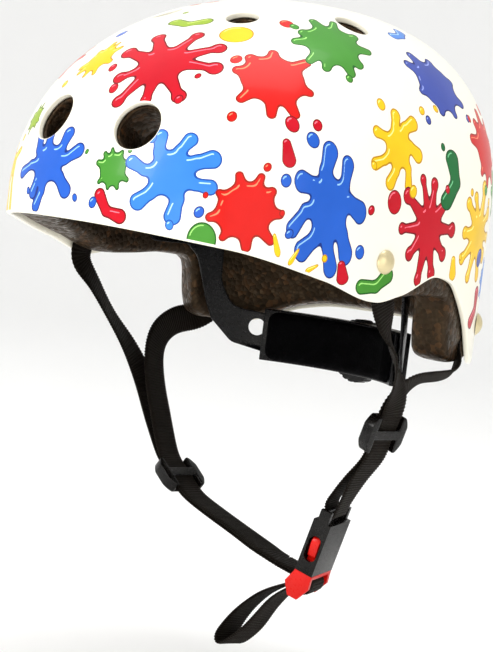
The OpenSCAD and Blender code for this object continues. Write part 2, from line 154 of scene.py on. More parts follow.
def plastic(name, rgb, rough=0.38, spec=0.5, grain=1400.0, strength=0.18, coat=0.0):
    m, nt, b = mat(name, rgb, rough=rough, spec=spec, coat=coat, coat_rough=0.12)
    v = coords(nt, 1.0)
    cl = noise(nt, v, 60.0, 3.0)
    nt.links.new(ramp(nt, cl, [(0.3, tuple(c * 0.9 for c in rgb)), (0.7, tuple(c * 1.1 for c in rgb))]), b.inputs["Base Color"])
    g = noise(nt, v, grain, 2.0)
    nt.links.new(maprange(nt, g, 0.25, 0.75, rough * 0.8, rough * 1.3), b.inputs["Roughness"])
    bump(nt, b, g, strength, 0.00012)
    return m


def knit(name, rgb, scale=1.0, spec=0.08, sheen=0.05):
    m, nt, b = mat(name, rgb, rough=0.95, spec=spec, sheen=sheen, sheen_tint=(0.9, 0.8, 0.7))
    v = coords(nt, 1.0)
    vor = nt.nodes.new("ShaderNodeTexVoronoi")
    nt.links.new(v, vor.inputs["Vector"])
    vor.inputs["Scale"].default_value = 850.0 * scale
    fuzz = noise(nt, v, 2400.0 * scale, 3.0, 0.7)
    cl = noise(nt, v, 90.0, 4.0)
    nt.links.new(ramp(nt, cl, [(0.3, tuple(c * 0.65 for c in rgb)), (0.72, tuple(c * 1.5 for c in rgb))]), b.inputs["Base Color"])
    n1 = bump(nt, b, vor.outputs["Distance"], 0.6, 0.0005)
    bump(nt, b, fuzz, 0.5, 0.0003, n1)
    return m


def webbing_material(name, rgb):
    m, nt, b = mat(name, rgb, rough=0.62, spec=0.14, sheen=0.015, sheen_tint=(0.85, 0.7, 0.55))
    b.inputs["Specular Tint"].default_value = (1.0, 0.85, 0.7, 1)
    uv = coords(nt, (1, 1, 1), "UV")
    w = nt.nodes.new("ShaderNodeTexWave")
    w.wave_type = "BANDS"
    w.bands_direction = "X"
    nt.links.new(uv, w.inputs["Vector"])
    w.inputs["Scale"].default_value = 6.0
    w.inputs["Distortion"].default_value = 1.2
    w.inputs["Detail"].default_value = 1.0
    w2 = nt.nodes.new("ShaderNodeTexWave")
    w2.wave_type = "BANDS"
    w2.bands_direction = "Y"
    nt.links.new(uv, w2.inputs["Vector"])
    w2.inputs["Scale"].default_value = 9.0
    w2.inputs["Distortion"].default_value = 0.6
    v = coords(nt, 1.0)
    fl = noise(nt, v, 3200.0, 3.0, 0.7)
    cl = noise(nt, v, 120.0, 3.0)
    nt.links.new(ramp(nt, cl, [(0.3, tuple(c * 0.7 for c in rgb)), (0.7, tuple(c * 1.5 for c in rgb))]), b.inputs["Base Color"])
    n1 = bump(nt, b, w.outputs["Fac"], 0.35, 0.0003)
    n2 = bump(nt, b, w2.outputs["Fac"], 0.3, 0.0002, n1)
    bump(nt, b, fl, 0.35, 0.0002, n2)
    return m


def eps_material(name):
    base = srgb(44, 34, 27)
    m, nt, b = mat(name, base, rough=0.5, spec=0.42, sheen=0.03, sheen_tint=(0.95, 0.72, 0.45))
    b.inputs["Specular Tint"].default_value = (1.0, 0.72, 0.45, 1)
    v = coords(nt, 1.0)
    vor = nt.nodes.new("ShaderNodeTexVoronoi")
    nt.links.new(v, vor.inputs["Vector"])
    vor.inputs["Scale"].default_value = 400.0
    vor.feature = "SMOOTH_F1"
    vor.inputs["Smoothness"].default_value = 0.35
    edge = nt.nodes.new("ShaderNodeTexVoronoi")
    nt.links.new(v, edge.inputs["Vector"])
    edge.inputs["Scale"].default_value = 400.0
    edge.feature = "DISTANCE_TO_EDGE"
    cell = nt.nodes.new("ShaderNodeTexVoronoi")
    nt.links.new(v, cell.inputs["Vector"])
    cell.inputs["Scale"].default_value = 400.0
    sep = nt.nodes.new("ShaderNodeSeparateColor")
    nt.links.new(cell.outputs["Color"], sep.inputs["Color"])
    patch = noise(nt, v, 24.0, 3.0)
    c1 = ramp(nt, sep.outputs["Red"], [(0.0, srgb(14, 9, 6)), (0.7, srgb(26, 16, 9)), (1.0, srgb(64, 42, 24))])
    mx = nt.nodes.new("ShaderNodeMix")
    mx.data_type = "RGBA"
    mx.blend_type = "MULTIPLY"
    mx.inputs["Factor"].default_value = 0.6
    nt.links.new(c1, mx.inputs["A"])
    nt.links.new(ramp(nt, patch, [(0.3, (0.55, 0.55, 0.55)), (0.7, (1.3, 1.2, 1.1))]), mx.inputs["B"])
    nt.links.new(mx.outputs["Result"], b.inputs["Base Color"])
    nt.links.new(maprange(nt, sep.outputs["Green"], 0, 1, 0.3, 0.72), b.inputs["Roughness"])
    dome = maprange(nt, vor.outputs["Distance"], 0.0, 0.9, 1.0, 0.0)
    n1 = bump(nt, b, dome, 0.55, 0.0007)
    bump(nt, b, maprange(nt, edge.outputs["Distance"], 0.0, 0.06, 0.0, 1.0), 0.35, 0.0003, n1)
    return m


M_SHELL = lacquer("shell_cream", srgb(246, 242, 226), 0.02, coat=0.3, spec=0.35)
M_EPS = eps_material("bead_foam")
M_PAD = knit("pad_knit", srgb(14, 12, 11))
M_CPAD = knit("cradle_knit", srgb(5, 5, 6), spec=0.03, sheen=0.0)
M_WEB = webbing_material("webbing_black", srgb(7, 5, 4))
M_BLACK = plastic("acetal_black", srgb(7, 5, 4), 0.24, 0.22)
M_ARM = plastic("nylon_black", srgb(4, 4, 6), 0.28, 0.16, 900.0, 0.05)
M_RUB = plastic("dial_black", srgb(9, 8, 8), 0.38, 0.25, 1200.0, 0.2)
M_RED = plastic("acetal_red", srgb(206, 16, 6), 0.3, 0.25, 1200.0, 0.05, 0.05)
M_RIVET, _nt, _b = mat("rivet_cream", srgb(214, 200, 158), rough=0.3, metal=0.75)
bump(_nt, _b, noise(_nt, coords(_nt, 1.0), 500.0, 2.0), 0.15, 0.0002)
M_WASH = plastic("washer_black", srgb(40, 38, 36), 0.5)
M_PIN = plastic("pinion_white", srgb(205, 203, 196), 0.4)


# ------------------------------------------------------------------ mesh help
def make(name, verts, faces, mats, body, mat_idx=None, smooth=True, sharp=None, normals=None, uvs=None):
    me = bpy.data.meshes.new(name)
    verts = np.asarray(verts, float) * MM
    me.from_pydata([tuple(v) for v in verts], [], [tuple(int(i) for i in f) for f in faces])
    for m in (mats if isinstance(mats, (list, tuple)) else [mats]):
        me.materials.append(m)
    if mat_idx is not None:
        me.polygons.foreach_set("material_index", np.asarray(mat_idx, np.int32))
    if smooth:
        me.shade_smooth()
    if sharp:
        me.set_sharp_from_angle(angle=math.radians(sharp))
    me.update()
    if uvs is not None:
        uv = me.uv_layers.new(name="UVMap")
        li = np.zeros(len(me.loops), np.int32)
        me.loops.foreach_get("vertex_index", li)
        uv.data.foreach_set("uv", np.asarray(uvs, np.float32)[li].ravel())
    if normals is not None:
        me.normals_split_custom_set_from_vertices([tuple(n) for n in normals])
    ob = bpy.data.objects.new(name, me)
    bpy.context.scene.collection.objects.link(ob)
    if body:
        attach(ob, body)
    return ob


def apply_mods(ob):
    dg = bpy.context.evaluated_depsgraph_get()
    dg.update()
    me = bpy.data.meshes.new_from_object(ob.evaluated_get(dg))
    old = ob.data
    ob.modifiers.clear()
    ob.data = me
    bpy.data.meshes.remove(old)
    return ob


def bevel_copy(name, nodes, material, body, width=0.4, segs=2, angle=38, weld=2e-5, move=None):
    """A finished copy of CAD nodes: welded, planar faces dissolved, edges rounded."""
    bm = bmesh.new()
    for n in nodes:
        o = NODES[n]
        part = bmesh.new()
        part.from_mesh(o.data)
        part.transform(o.matrix_world)
        bmesh.ops.remove_doubles(part, verts=part.verts, dist=weld)
        bmesh.ops.dissolve_limit(part, angle_limit=math.radians(0.6), verts=part.verts, edges=part.edges)
        tmp = bpy.data.meshes.new("tmp")
        part.to_mesh(tmp)
        part.free()
        bm.from_mesh(tmp)
        bpy.data.meshes.remove(tmp)
    me = bpy.data.meshes.new(name)
    bm.to_mesh(me)
    bm.free()
    ob = bpy.data.objects.new(name, me)
    bpy.context.scene.collection.objects.link(ob)
    me.materials.append(material)
    if width > 0:
        bv = ob.modifiers.new("bevel", "BEVEL")
        bv.width = width * MM
        bv.segments = segs
        bv.limit_method = "ANGLE"
        bv.angle_limit = math.radians(angle)
        bv.use_clamp_overlap = True
        apply_mods(ob)
    ob.data.shade_smooth()
    ob.data.set_sharp_from_angle(angle=math.radians(40))
    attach(ob, body)
    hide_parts(*nodes)
    return ob


# ------------------------------------------------------------------ the helmet's surface, mm
A0, B0, H0, PP, NN, SH = 104.0, 124.0, 108.7, 2.28, 2.42, 21.4
RIM_SHELL = [[0, -11.3], [45, -15.5], [72, -25.3], [85.5, -33], [99.5, -19], [106, -21.5], [112, -31], [118, -43],
             [124, -57], [130, -62.5], [140, -58], [150, -51.5], [162, -48], [180, -47.5]]
RIM_LINER = [[0, -10.5], [45, -14.5], [72, -24], [86, -31.5], [99, -29], [106, -29.5], [109, -33], [110, -38], [111, -52],
             [112.5, -60], [116, -62], [128, -61.5], [140, -56], [150, -50], [162, -46.5], [180, -46]]


def curve(kn, x):
    kn = np.array(kn, float)
    X, Yk = kn[:, 0], kn[:, 1]
    s = np.diff(Yk) / np.diff(X)
    m = np.zeros(len(X))
    for i in range(1, len(X) - 1):
        a, b = s[i - 1], s[i]
        m[i] = 0 if a * b <= 0 else 2 * a * b / (a + b)
    x = np.asarray(x, float)
    i = np.clip(np.searchsorted(X, x, side="left") - 1, 0, len(X) - 2)
    h = X[i + 1] - X[i]
    t = np.clip((x - X[i]) / h, 0, 1)
    return ((2 * t**3 - 3 * t**2 + 1) * Yk[i] + (t**3 - 2 * t**2 + t) * m[i] * h
            + (3 * t**2 - 2 * t**3) * Yk[i + 1] + (t**3 - t**2) * m[i + 1] * h)


def fold(phi):
    p = np.abs((np.asarray(phi, float) + 180) % 360 - 180)
    return p


def rim_shell(phi):
    return curve(RIM_SHELL, fold(phi))


def rim_liner(phi):
    return curve(RIM_LINER, fold(phi))


def crown_s(z, h):
    q = np.clip(z / h, 0, 1)
    return np.where(z <= 0, 1.0, np.power(np.maximum(0, 1 - q**PP), 1 / PP))


def skin(phi, z, d):
    phi, z = np.broadcast_arrays(np.radians(np.asarray(phi, float)), np.asarray(z, float))
    h, a, b = H0 - d, A0 - d, B0 - d
    s = crown_s(z, h)
    sn, cs = np.sin(phi), np.cos(phi)
    return np.stack([a * s * np.sign(sn) * np.abs(sn) ** (2 / NN),
                     SH * np.clip(z / h, 0, 1) ** 1.5 - b * s * np.sign(cs) * np.abs(cs) ** (2 / NN), z + 0 * s], -1)


def g_out(p, d):
    """Above 0 outside the skin at depth d, below 0 inside it."""
    h, a, b = H0 - d, A0 - d, B0 - d
    z = p[..., 2]
    y = p[..., 1] - SH * np.clip(z / h, 0, 1) ** 1.5
    rr = (np.abs(p[..., 0] / a) ** NN + np.abs(y / b) ** NN) ** (1 / NN)
    return (rr**PP + np.clip(z / h, 0, 9) ** PP) - 1.0


def normal_at(p, d=0.0):
    e = 0.15
    g = np.stack([g_out(p + e * np.eye(3)[k], d) - g_out(p - e * np.eye(3)[k], d) for k in range(3)], -1)
    return unit(g)


def hit(pa, pb, d):
    """Where the segment from pa, outside, to pb, inside, meets the skin."""
    a, b = np.zeros(len(pa)), np.ones(len(pa))
    for _ in range(38):
        m = (a + b) / 2
        out = g_out(pa + (pb - pa) * m[:, None], d) > 0
        a, b = np.where(out, m, a), np.where(out, b, m)
    return pa + (pb - pa) * ((a + b) / 2)[:, None]


def phi_z(p, d):
    h, a, b = H0 - d, A0 - d, B0 - d
    z = p[..., 2]
    s = np.maximum(crown_s(z, h), 1e-9)
    y = p[..., 1] - SH * np.clip(z / h, 0, 1) ** 1.5
    sn = np.sign(p[..., 0]) * (np.abs(p[..., 0]) / (a * s)) ** (NN / 2)
    cs = -np.sign(y) * (np.abs(y) / (b * s)) ** (NN / 2)
    return np.degrees(np.arctan2(sn, cs)), z


R0 = 150.0


def to_chart(phi, z, d):
    h = H0 - d
    t = np.arcsin(np.clip(z / h, 0, 1) ** (PP / 2))
    r = np.where(z >= 0, R0 * (1 - t / (math.pi / 2)), R0 - z)
    f = np.radians(phi)
    return np.stack([r * np.sin(f), -r * np.cos(f)], -1)


def from_chart(c, d):
    h = H0 - d
    r = np.linalg.norm(c, axis=-1)
    phi = np.degrees(np.arctan2(c[..., 0], -c[..., 1]))
    t = np.clip(1 - r / R0, 0, 1) * math.pi / 2
    z = np.where(r > R0, R0 - r, h * np.sin(t) ** (2 / PP))
    return phi, z


def cdt(polys, extra):
    pts, faces = [], []
    for p in polys:
        i0 = len(pts)
        pts += [Vector((float(a), float(b))) for a, b in p]
        faces.append(list(range(i0, i0 + len(p))))
    pts += [Vector((float(a), float(b))) for a, b in extra]
    v, _, f, _, _, of = geometry.delaunay_2d_cdt(pts, [], faces, 1, 1e-5, True)
    return np.array([(q.x, q.y) for q in v]), np.array([list(q) for q in f if len(q) == 3], int), [o for q, o in zip(f, of) if len(q) == 3]


def loops_of(tri):
    """The directed border loops of a triangle list."""
    e = {}
    for a, b, c in tri:
        for p, q in ((a, b), (b, c), (c, a)):
            e[(p, q)] = e.get((p, q), 0) + 1
    nxt = {}
    for (p, q) in e:
        if (q, p) not in e:
            nxt[p] = q
    out = []
    while nxt:
        s = next(iter(nxt))
        loop = [s]
        q = nxt.pop(s)
        while q != s and q in nxt:
            loop.append(q)
            q = nxt.pop(q)
        out.append(loop)
    return out


VENTS = [[13, 36.2, 12.3], [-13, 36.2, 12.3], [21.7, 94, 8], [-21.7, 94, 8], [77.7, 98, 8.8], [-77.7, 98, 8.8],
         [140, 93, 8.8], [-140, 93, 8.8], [158, 42, 11], [-158, 42, 11]]


def vent_frame(v):
    c = skin(v[0], v[1], 0.0)
    n = normal_at(c[None], 0.0)[0]
    e1 = unit(np.cross(V3(0, 0, 1), n))
    e2 = np.cross(n, e1)
    return c, n, e1, e2


def wall_solid(name, d0, d1, rim, rim_in, bulge, lip, vent_r, spacing, decals, mats, rows):
    """A thick wall between two skins, open at the vents, with rounded edges, as one closed mesh."""
    rng = np.random.default_rng(7)
    ph = np.arange(0, 360, 0.5)
    fine = np.concatenate([np.arange(108, 116, 0.12), np.arange(244, 252, 0.12)])
    ph = np.unique(np.round(np.concatenate([ph, fine]), 3))
    keep = [ph[0]]
    p3 = skin(ph, rim(ph), d0)
    last = p3[0]
    for a, q in zip(ph[1:], p3[1:]):
        if np.linalg.norm(q - last) > 0.9:
            keep.append(a)
            last = q
    ph = np.array(keep)
    polys = [to_chart(ph, rim(ph) + bulge, d0)]
    for v, r in zip(VENTS, vent_r):
        c, n, e1, e2 = vent_frame(v)
        k = max(40, int(2 * math.pi * r / 1.0))
        an = np.linspace(0, 2 * math.pi, k, endpoint=False)
        ring = c + (r + lip) * (np.cos(an)[:, None] * e1 + np.sin(an)[:, None] * e2)
        h3 = hit(ring + n * 15, ring - n * 40, d0)
        polys.append(to_chart(*phi_z(h3, d0), d0))
    nbase = len(polys)
    labels = []
    for d in decals:
        polys.append(d[0])
        labels.append(d[1])
    # evenly spread inner points
    extra = [(0.0, 0.0)]
    hh = H0 - d0
    r = 0.0
    while True:
        r += 1.0 * spacing
        if r > R0 + 75:
            break
        z = float(from_chart(np.array([0.0, r]), d0)[1])
        per = 2 * math.pi * 110 * float(crown_s(np.array(z), hh))
        k = max(6, int(per / spacing))
        an = (np.arange(k) + rng.random()) / k * 360
        cc = np.stack([r * np.sin(np.radians(an)), -r * np.cos(np.radians(an))], -1)
        f2, z2 = from_chart(cc, d0)
        ok = z2 > rim(f2) + bulge + spacing * 0.4
        p3 = skin(f2, z2, d0)
        for v, vr in zip(VENTS, vent_r):
            c, n, e1, e2 = vent_frame(v)
            q = p3 - c
            q = q - (q @ n)[:, None] * n
            ok &= ~((np.linalg.norm(q, axis=1) < vr + lip + spacing * 0.4) & (((p3 - c) @ n) > -30))
        extra += [tuple(x) for x in cc[ok]]
    cv, tri, of = cdt(polys, extra)
    keep, idx = [], []
    for t, o in zip(tri, of):
        s = set(o)
        if 0 not in s or any(1 <= k < nbase for k in s):
            continue
        best = 0
        for k in s:
            if k >= nbase and (best == 0 or k > best):
                best = k
        keep.append(t)
        idx.append(labels[best - nbase] if best else 0)
    tri = np.array(keep)
    used = np.unique(tri)
    remap = -np.ones(len(cv), int)
    remap[used] = np.arange(len(used))
    cv, tri = cv[used], remap[tri]
    f, z = from_chart(cv, d0)
    P = skin(f, z, d0)
    nrm = normal_at(P, d0)
    # faces turn outward
    fn = np.cross(P[tri[:, 1]] - P[tri[:, 0]], P[tri[:, 2]] - P[tri[:, 0]])
    flip = (fn * nrm[tri[:, 0]]).sum(1) < 0
    tri[flip] = tri[flip][:, ::-1]
    verts = [P]
    norms = [nrm]
    faces = [list(t) for t in tri]
    midx = list(idx)
    count = len(P)
    inner_polys, inner_ids = [], []
    for loop in loops_of(tri):
        L = np.array(loop)
        Q = P[L]
        nq = nrm[L]
        tan = unit(np.roll(Q, -1, 0) - np.roll(Q, 1, 0))
        out = unit(np.cross(tan, nq))
        vk = None
        cen = Q.mean(0)
        for k, v in enumerate(VENTS):
            c, n, e1, e2 = vent_frame(v)
            if len(L) < 400 and np.linalg.norm(cen - c) < 12:
                vk = k
        if vk is None:
            if out[:, 2].mean() > 0:
                out = -out
            fq, zq = phi_z(Q, d0)
            IN = skin(fq, rim_in(fq), d1)
            prof = [(s, bulge * (1 - abs(2 * s - 1) ** 3.2) ** (1 / 2.4)) for s in np.linspace(0, 1, rows + 2)[1:-1]]
            ring_rows = [Q * (1 - s) + IN * s + out * bb for s, bb in prof]
        else:
            c, n, e1, e2 = vent_frame(VENTS[vk])
            rad = Q - c
            rad = unit(rad - (rad @ n)[:, None] * n)
            r = vent_r[vk]
            base = c + rad * r
            IN = hit(base + n * 15, base - n * 60, d1)
            TOP = hit(base + n * 15, base - n * 60, d0 + lip)
            mid = hit(base + n * 15 + rad * lip * 0.3, base - n * 60 + rad * lip * 0.3, d0 + lip * 0.3)
            ring_rows = [mid, TOP] + [TOP * (1 - s) + IN * s for s in np.linspace(0, 1, max(2, rows // 2) + 1)[1:-1]]
        prev = list(L)
        for row in ring_rows + [IN]:
            ids = list(range(count, count + len(L)))
            verts.append(row)
            count += len(L)
            for i in range(len(L)):
                j = (i + 1) % len(L)
                faces.append([prev[j], prev[i], ids[i], ids[j]])
                midx.append(0)
            prev = ids
        q = to_chart(*phi_z(IN, d1), d1)
        x, y = q[:, 0], q[:, 1]
        if (x * np.roll(y, -1) - np.roll(x, -1) * y).sum() < 0:  # every polygon runs the same way round
            q, prev = q[::-1], prev[::-1]
        inner_polys.append(q)
        inner_ids.append(prev)
    # inner skin
    extra = [(0.0, 0.0)]
    r = 0.0
    sp = spacing * 1.15
    hh = H0 - d1
    while r < R0 + 75:
        r += sp
        z = float(from_chart(np.array([0.0, r]), d1)[1])
        per = 2 * math.pi * (110 - d1) * float(crown_s(np.array(z), hh))
        k = max(6, int(per / sp))
        an = (np.arange(k) + rng.random()) / k * 360
        cc = np.stack([r * np.sin(np.radians(an)), -r * np.cos(np.radians(an))], -1)
        f2, z2 = from_chart(cc, d1)
        ok = z2 > rim_in(f2) + sp * 0.6
        p3 = skin(f2, z2, d1)
        for v, vr in zip(VENTS, vent_r):
            c, n, e1, e2 = vent_frame(v)
            q = p3 - c
            q = q - (q @ n)[:, None] * n
            ok &= ~((np.linalg.norm(q, axis=1) < vr + sp * 0.6) & (((p3 - c) @ n) > -45))
        extra += [tuple(x) for x in cc[ok]]
    cv2, tri2, of2 = cdt(inner_polys, extra)
    big = int(np.argmax([len(p) for p in inner_polys]))
    t2 = [t for t, o in zip(tri2, of2) if big in o and len(set(o)) == 1]
    t2 = np.array(t2)
    f, z = from_chart(cv2, d1)
    P2 = skin(f, z, d1)
    # the first points are the border loops, in order
    gid = np.zeros(len(cv2), int)
    k = 0
    nb = sum(len(p) for p in inner_polys)
    flat = [i for ids in inner_ids for i in ids]
    assert len(flat) == nb
    gid[:nb] = flat
    gid[nb:] = np.arange(count, count + len(cv2) - nb)
    verts.append(P2[nb:])
    n2 = normal_at(P2, d1)
    fn = np.cross(P2[t2[:, 1]] - P2[t2[:, 0]], P2[t2[:, 2]] - P2[t2[:, 0]])
    flip = (fn * n2[t2[:, 0]]).sum(1) > 0
    t2[flip] = t2[flip][:, ::-1]
    faces += [list(gid[t]) for t in t2]
    midx += [0] * len(t2)
    verts = np.concatenate(verts)
    # shading normals: the exact skin on the outside, averages elsewhere
    nv = np.zeros_like(verts)
    for q in (faces,):
        for n_ in (3, 4):
            fa = np.array([f for f in q if len(f) == n_], int)
            if not len(fa):
                continue
            a, b, c = verts[fa[:, 0]], verts[fa[:, 1]], verts[fa[:, 2]]
            c3 = verts[fa[:, 3]] if n_ == 4 else c
            fn = np.cross(b - a, c - a) + (np.cross(c - a, c3 - a) if n_ == 4 else 0)
            for k in range(n_):
                np.add.at(nv, fa[:, k], fn)
    nv = unit(nv)
    nv[: len(P)] = nrm
    return verts, faces, midx, nv


# ------------------------------------------------------------------ paint splashes, own shapes
def smin(a, b, k):
    h = np.clip(0.5 + 0.5 * (b - a) / k, 0, 1)
    return b + (a - b) * h - k * h * (1 - h)


def cone_sdf(X, Yg, p, q, r0, r1):
    d = np.array(q, float) - np.array(p, float)
    L2 = max(float(d @ d), 1e-9)
    t = np.clip(((X - p[0]) * d[0] + (Yg - p[1]) * d[1]) / L2, 0, 1)
    return np.hypot(X - p[0] - d[0] * t, Yg - p[1] - d[1] * t) - (r0 + (r1 - r0) * t)


def contour(F, x0, y0, h):
    """Closed zero lines of a field, by marching squares."""
    s = F < 0
    ny, nx = F.shape
    c = s[:-1, :-1].astype(int) + 2 * s[:-1, 1:] + 4 * s[1:, 1:] + 8 * s[1:, :-1]
    nxt = {}
    pos = {}

    def edge(j, i, k):
        if k == 0:
            key, a, b, p, q = (j, i, 0), F[j, i], F[j, i + 1], (i, j), (i + 1, j)
        elif k == 1:
            key, a, b, p, q = (j, i + 1, 1), F[j, i + 1], F[j + 1, i + 1], (i + 1, j), (i + 1, j + 1)
        elif k == 2:
            key, a, b, p, q = (j + 1, i, 0), F[j + 1, i], F[j + 1, i + 1], (i, j + 1), (i + 1, j + 1)
        else:
            key, a, b, p, q = (j, i, 1), F[j, i], F[j + 1, i], (i, j), (i, j + 1)
        t = a / (a - b)
        t = min(max(t, 0.02), 0.98)
        pos[key] = (x0 + h * (p[0] + (q[0] - p[0]) * t), y0 + h * (p[1] + (q[1] - p[1]) * t))
        return key

    table = {1: [(3, 0)], 2: [(0, 1)], 3: [(3, 1)], 4: [(1, 2)], 5: [(3, 2), (1, 0)], 6: [(0, 2)], 7: [(3, 2)],
             8: [(2, 3)], 9: [(2, 0)], 10: [(0, 3), (2, 1)], 11: [(2, 1)], 12: [(1, 3)], 13: [(1, 0)], 14: [(0, 3)]}
    for j, i in zip(*np.nonzero((c > 0) & (c < 15))):
        for a, b in table[int(c[j, i])]:
            nxt[edge(j, i, a)] = edge(j, i, b)
    out = []
    while nxt:
        st = next(iter(nxt))
        k = nxt.pop(st)
        loop = [pos[st]]
        while k != st and k in nxt:
            loop.append(pos[k])
            k = nxt.pop(k)
        if k == st and len(loop) > 6:
            out.append(np.array(loop))
    return out


def resample(p, step):
    q = np.vstack([p, p[:1]])
    s = np.concatenate([[0], np.cumsum(np.linalg.norm(np.diff(q, axis=0), axis=1))])
    n = max(8, int(s[-1] / step))
    t = np.linspace(0, s[-1], n, endpoint=False)
    return np.stack([np.interp(t, s, q[:, 0]), np.interp(t, s, q[:, 1])], -1)


def splash(kind, size, seed):
    """A field for one splash about the origin, mm: below 0 is paint. size is its half width."""
    r = random.Random(seed)
    h = 0.45 if size > 12 else 0.3
    L = size * 1.35 + 3
    ax = np.arange(-L, L + h, h)
    X, Yg = np.meshgrid(ax, ax)
    if kind == "star":  # round centre with many arms that end in drops
        n = r.randint(8, 10)
        core = size * r.uniform(0.42, 0.48)
        F = np.hypot(X, Yg * 1.05) - core
        for k in range(n):
            a = 2 * math.pi * (k + r.uniform(-0.16, 0.16)) / n
            l = size * r.uniform(0.76, 1.05)
            tip = (l * math.cos(a), l * math.sin(a))
            w = size * r.uniform(0.07, 0.095)
            F = smin(F, cone_sdf(X, Yg, (core * 0.6 * math.cos(a), core * 0.6 * math.sin(a)), tip, w * 2.0, w), size * 0.1)
            F = smin(F, np.hypot(X - tip[0], Yg - tip[1]) - w * r.uniform(1.4, 2.1), size * 0.07)
    elif kind == "octo":  # fat centre, long rounded arms
        n = r.randint(7, 8)
        core = size * 0.46
        F = np.hypot(X * r.uniform(0.95, 1.1), Yg) - core
        for k in range(n):
            a = 2 * math.pi * (k + r.uniform(-0.2, 0.2)) / n
            l = size * r.uniform(0.74, 1.05)
            b = a + r.uniform(-0.28, 0.28)
            mid = (l * 0.62 * math.cos(a), l * 0.62 * math.sin(a))
            tip = (l * math.cos(b), l * math.sin(b))
            w = size * r.uniform(0.11, 0.145)
            F = smin(F, cone_sdf(X, Yg, (0, 0), mid, w * 1.9, w * 1.15), size * 0.13)
            F = smin(F, cone_sdf(X, Yg, mid, tip, w * 1.0, w * 1.4), size * 0.06)
    elif kind == "puddle":  # wide pool with short rounded lobes
        n = r.randint(8, 10)
        F = np.hypot(X, Yg * 1.08) - size * 0.74
        for k in range(n):
            a = 2 * math.pi * (k + r.uniform(-0.25, 0.25)) / n
            l = size * r.uniform(0.76, 1.02)
            w = size * r.uniform(0.1, 0.15)
            F = smin(F, cone_sdf(X, Yg, (size * 0.4 * math.cos(a), size * 0.4 * math.sin(a)), (l * math.cos(a), l * math.sin(a)), w * 1.7, w), size * 0.12)
    elif kind == "drip":  # pool that runs down in long drops
        F = np.hypot(X, (Yg - size * 0.3) * 1.5) - size * 0.5
        for k in range(4):
            x = size * (-0.52 + 0.34 * k + r.uniform(-0.05, 0.05))
            y1 = -size * r.uniform(0.25, 0.95)
            w = size * r.uniform(0.08, 0.11)
            F = smin(F, cone_sdf(X, Yg, (x, size * 0.25), (x * 1.12, y1), w, w * 1.45), size * 0.12)
        for k in range(3):
            a = math.pi * (0.2 + 0.3 * k + r.uniform(-0.05, 0.05))
            F = smin(F, cone_sdf(X, Yg, (0, size * 0.3), (size * 0.95 * math.cos(a), size * (0.25 + 0.6 * math.sin(a))), size * 0.16, size * 0.1), size * 0.12)
    elif kind == "bean":  # bent blob
        bend = r.uniform(0.25, 0.4)
        F = cone_sdf(X, Yg, (-size * 0.62, size * bend * 0.6), (0, -size * bend * 0.3), size * 0.27, size * 0.22)
        F = smin(F, cone_sdf(X, Yg, (0, -size * bend * 0.3), (size * 0.62, size * bend * 0.35), size * 0.2, size * 0.3), size * 0.12)
    elif kind == "pear":
        F = cone_sdf(X, Yg, (0, size * 0.5), (0, -size * 0.42), size * 0.28, size * 0.46)
    elif kind == "dome":
        F = np.maximum(np.hypot(X, Yg + size * 0.35) - size * 0.85, -(Yg + size * 0.6))
    else:  # drop
        F = np.hypot(X, Yg * 0.82) - size * 0.8
    return F, ax[0], h


PAINT = {
    "blue": (srgb(34, 92, 196), srgb(18, 48, 128), srgb(150, 200, 250)),
    "sky": (srgb(56, 128, 214), srgb(24, 76, 166), srgb(176, 218, 252)),
    "navy": (srgb(60, 78, 164), srgb(30, 34, 100), srgb(150, 164, 230)),
    "red": (srgb(206, 16, 8), srgb(150, 26, 10), srgb(255, 140, 100)),
    "crimson": (srgb(192, 4, 30), srgb(112, 2, 20), srgb(250, 120, 140)),
    "yellow": (srgb(240, 196, 20), srgb(186, 134, 4), srgb(255, 246, 140)),
    "green": (srgb(66, 140, 44), srgb(22, 88, 22), srgb(160, 226, 120)),
    "olive": (srgb(146, 176, 30), srgb(80, 108, 16), srgb(214, 230, 120)),
    "pine": (srgb(18, 106, 50), srgb(4, 66, 28), srgb(120, 204, 146)),
}
SHELL_MATS = [M_SHELL]
PAINT_ID = {}
for nm, (cf, co, ch) in PAINT.items():
    PAINT_ID[nm] = len(SHELL_MATS)
    SHELL_MATS += [lacquer("paint_" + nm, cf, 0.1), lacquer("paint_" + nm + "_edge", co, 0.05), lacquer("paint_" + nm + "_light", ch, 0.04)]

# each splash: kind, colour, angle and height of its centre, half width in mm, turn in degrees, squeeze, seed
SPLASHES = []


def place(kind, colour, phi, z, size, turn=0, sx=1.0, seed=1):
    SPLASHES.append((kind, colour, phi, z, size, turn, sx, seed))


# shown side, front to back
place("drip", "yellow", -34, 3, 21, 8, 0.95, 3)
place("octo", "blue", -8, 13, 21, 10, 1.05, 5)
place("puddle", "green", 10.5, 14.5, 12, 20, 0.85, 7)
place("bean", "crimson", 11, -4, 12.5, -30, 1.0, 9)
place("star", "crimson", 10, 66, 29, 4, 1.0, 11)
place("puddle", "yellow", -12, 66, 14, 0, 0.75, 13)
place("drop", "yellow", 27, 84.5, 8, 20, 1.3, 15)
place("bean", "olive", 3, 88, 14, 15, 1.0, 17)
place("octo", "sky", 27, 16, 23.5, 30, 0.98, 19)
place("puddle", "red", 47, 65, 21.5, -12, 1.0, 21)
place("puddle", "red", 48.5, 3.5, 18.5, 33, 1.05, 23)
place("pear", "crimson", 56.5, 32, 8.5, 10, 0.9, 25)
place("octo", "blue", 70, 9, 30, 6, 0.74, 27)
place("puddle", "green", 65, 86, 25, -38, 0.74, 29)
place("octo", "yellow", 86, 41, 21, 0, 0.85, 31)
place("star", "crimson", 94.5, 5, 25, 3, 0.8, 33)
place("star", "yellow", 117, 4, 25, 0, 0.9, 35)
place("bean", "pine", 101, 28, 19, 80, 0.9, 37)
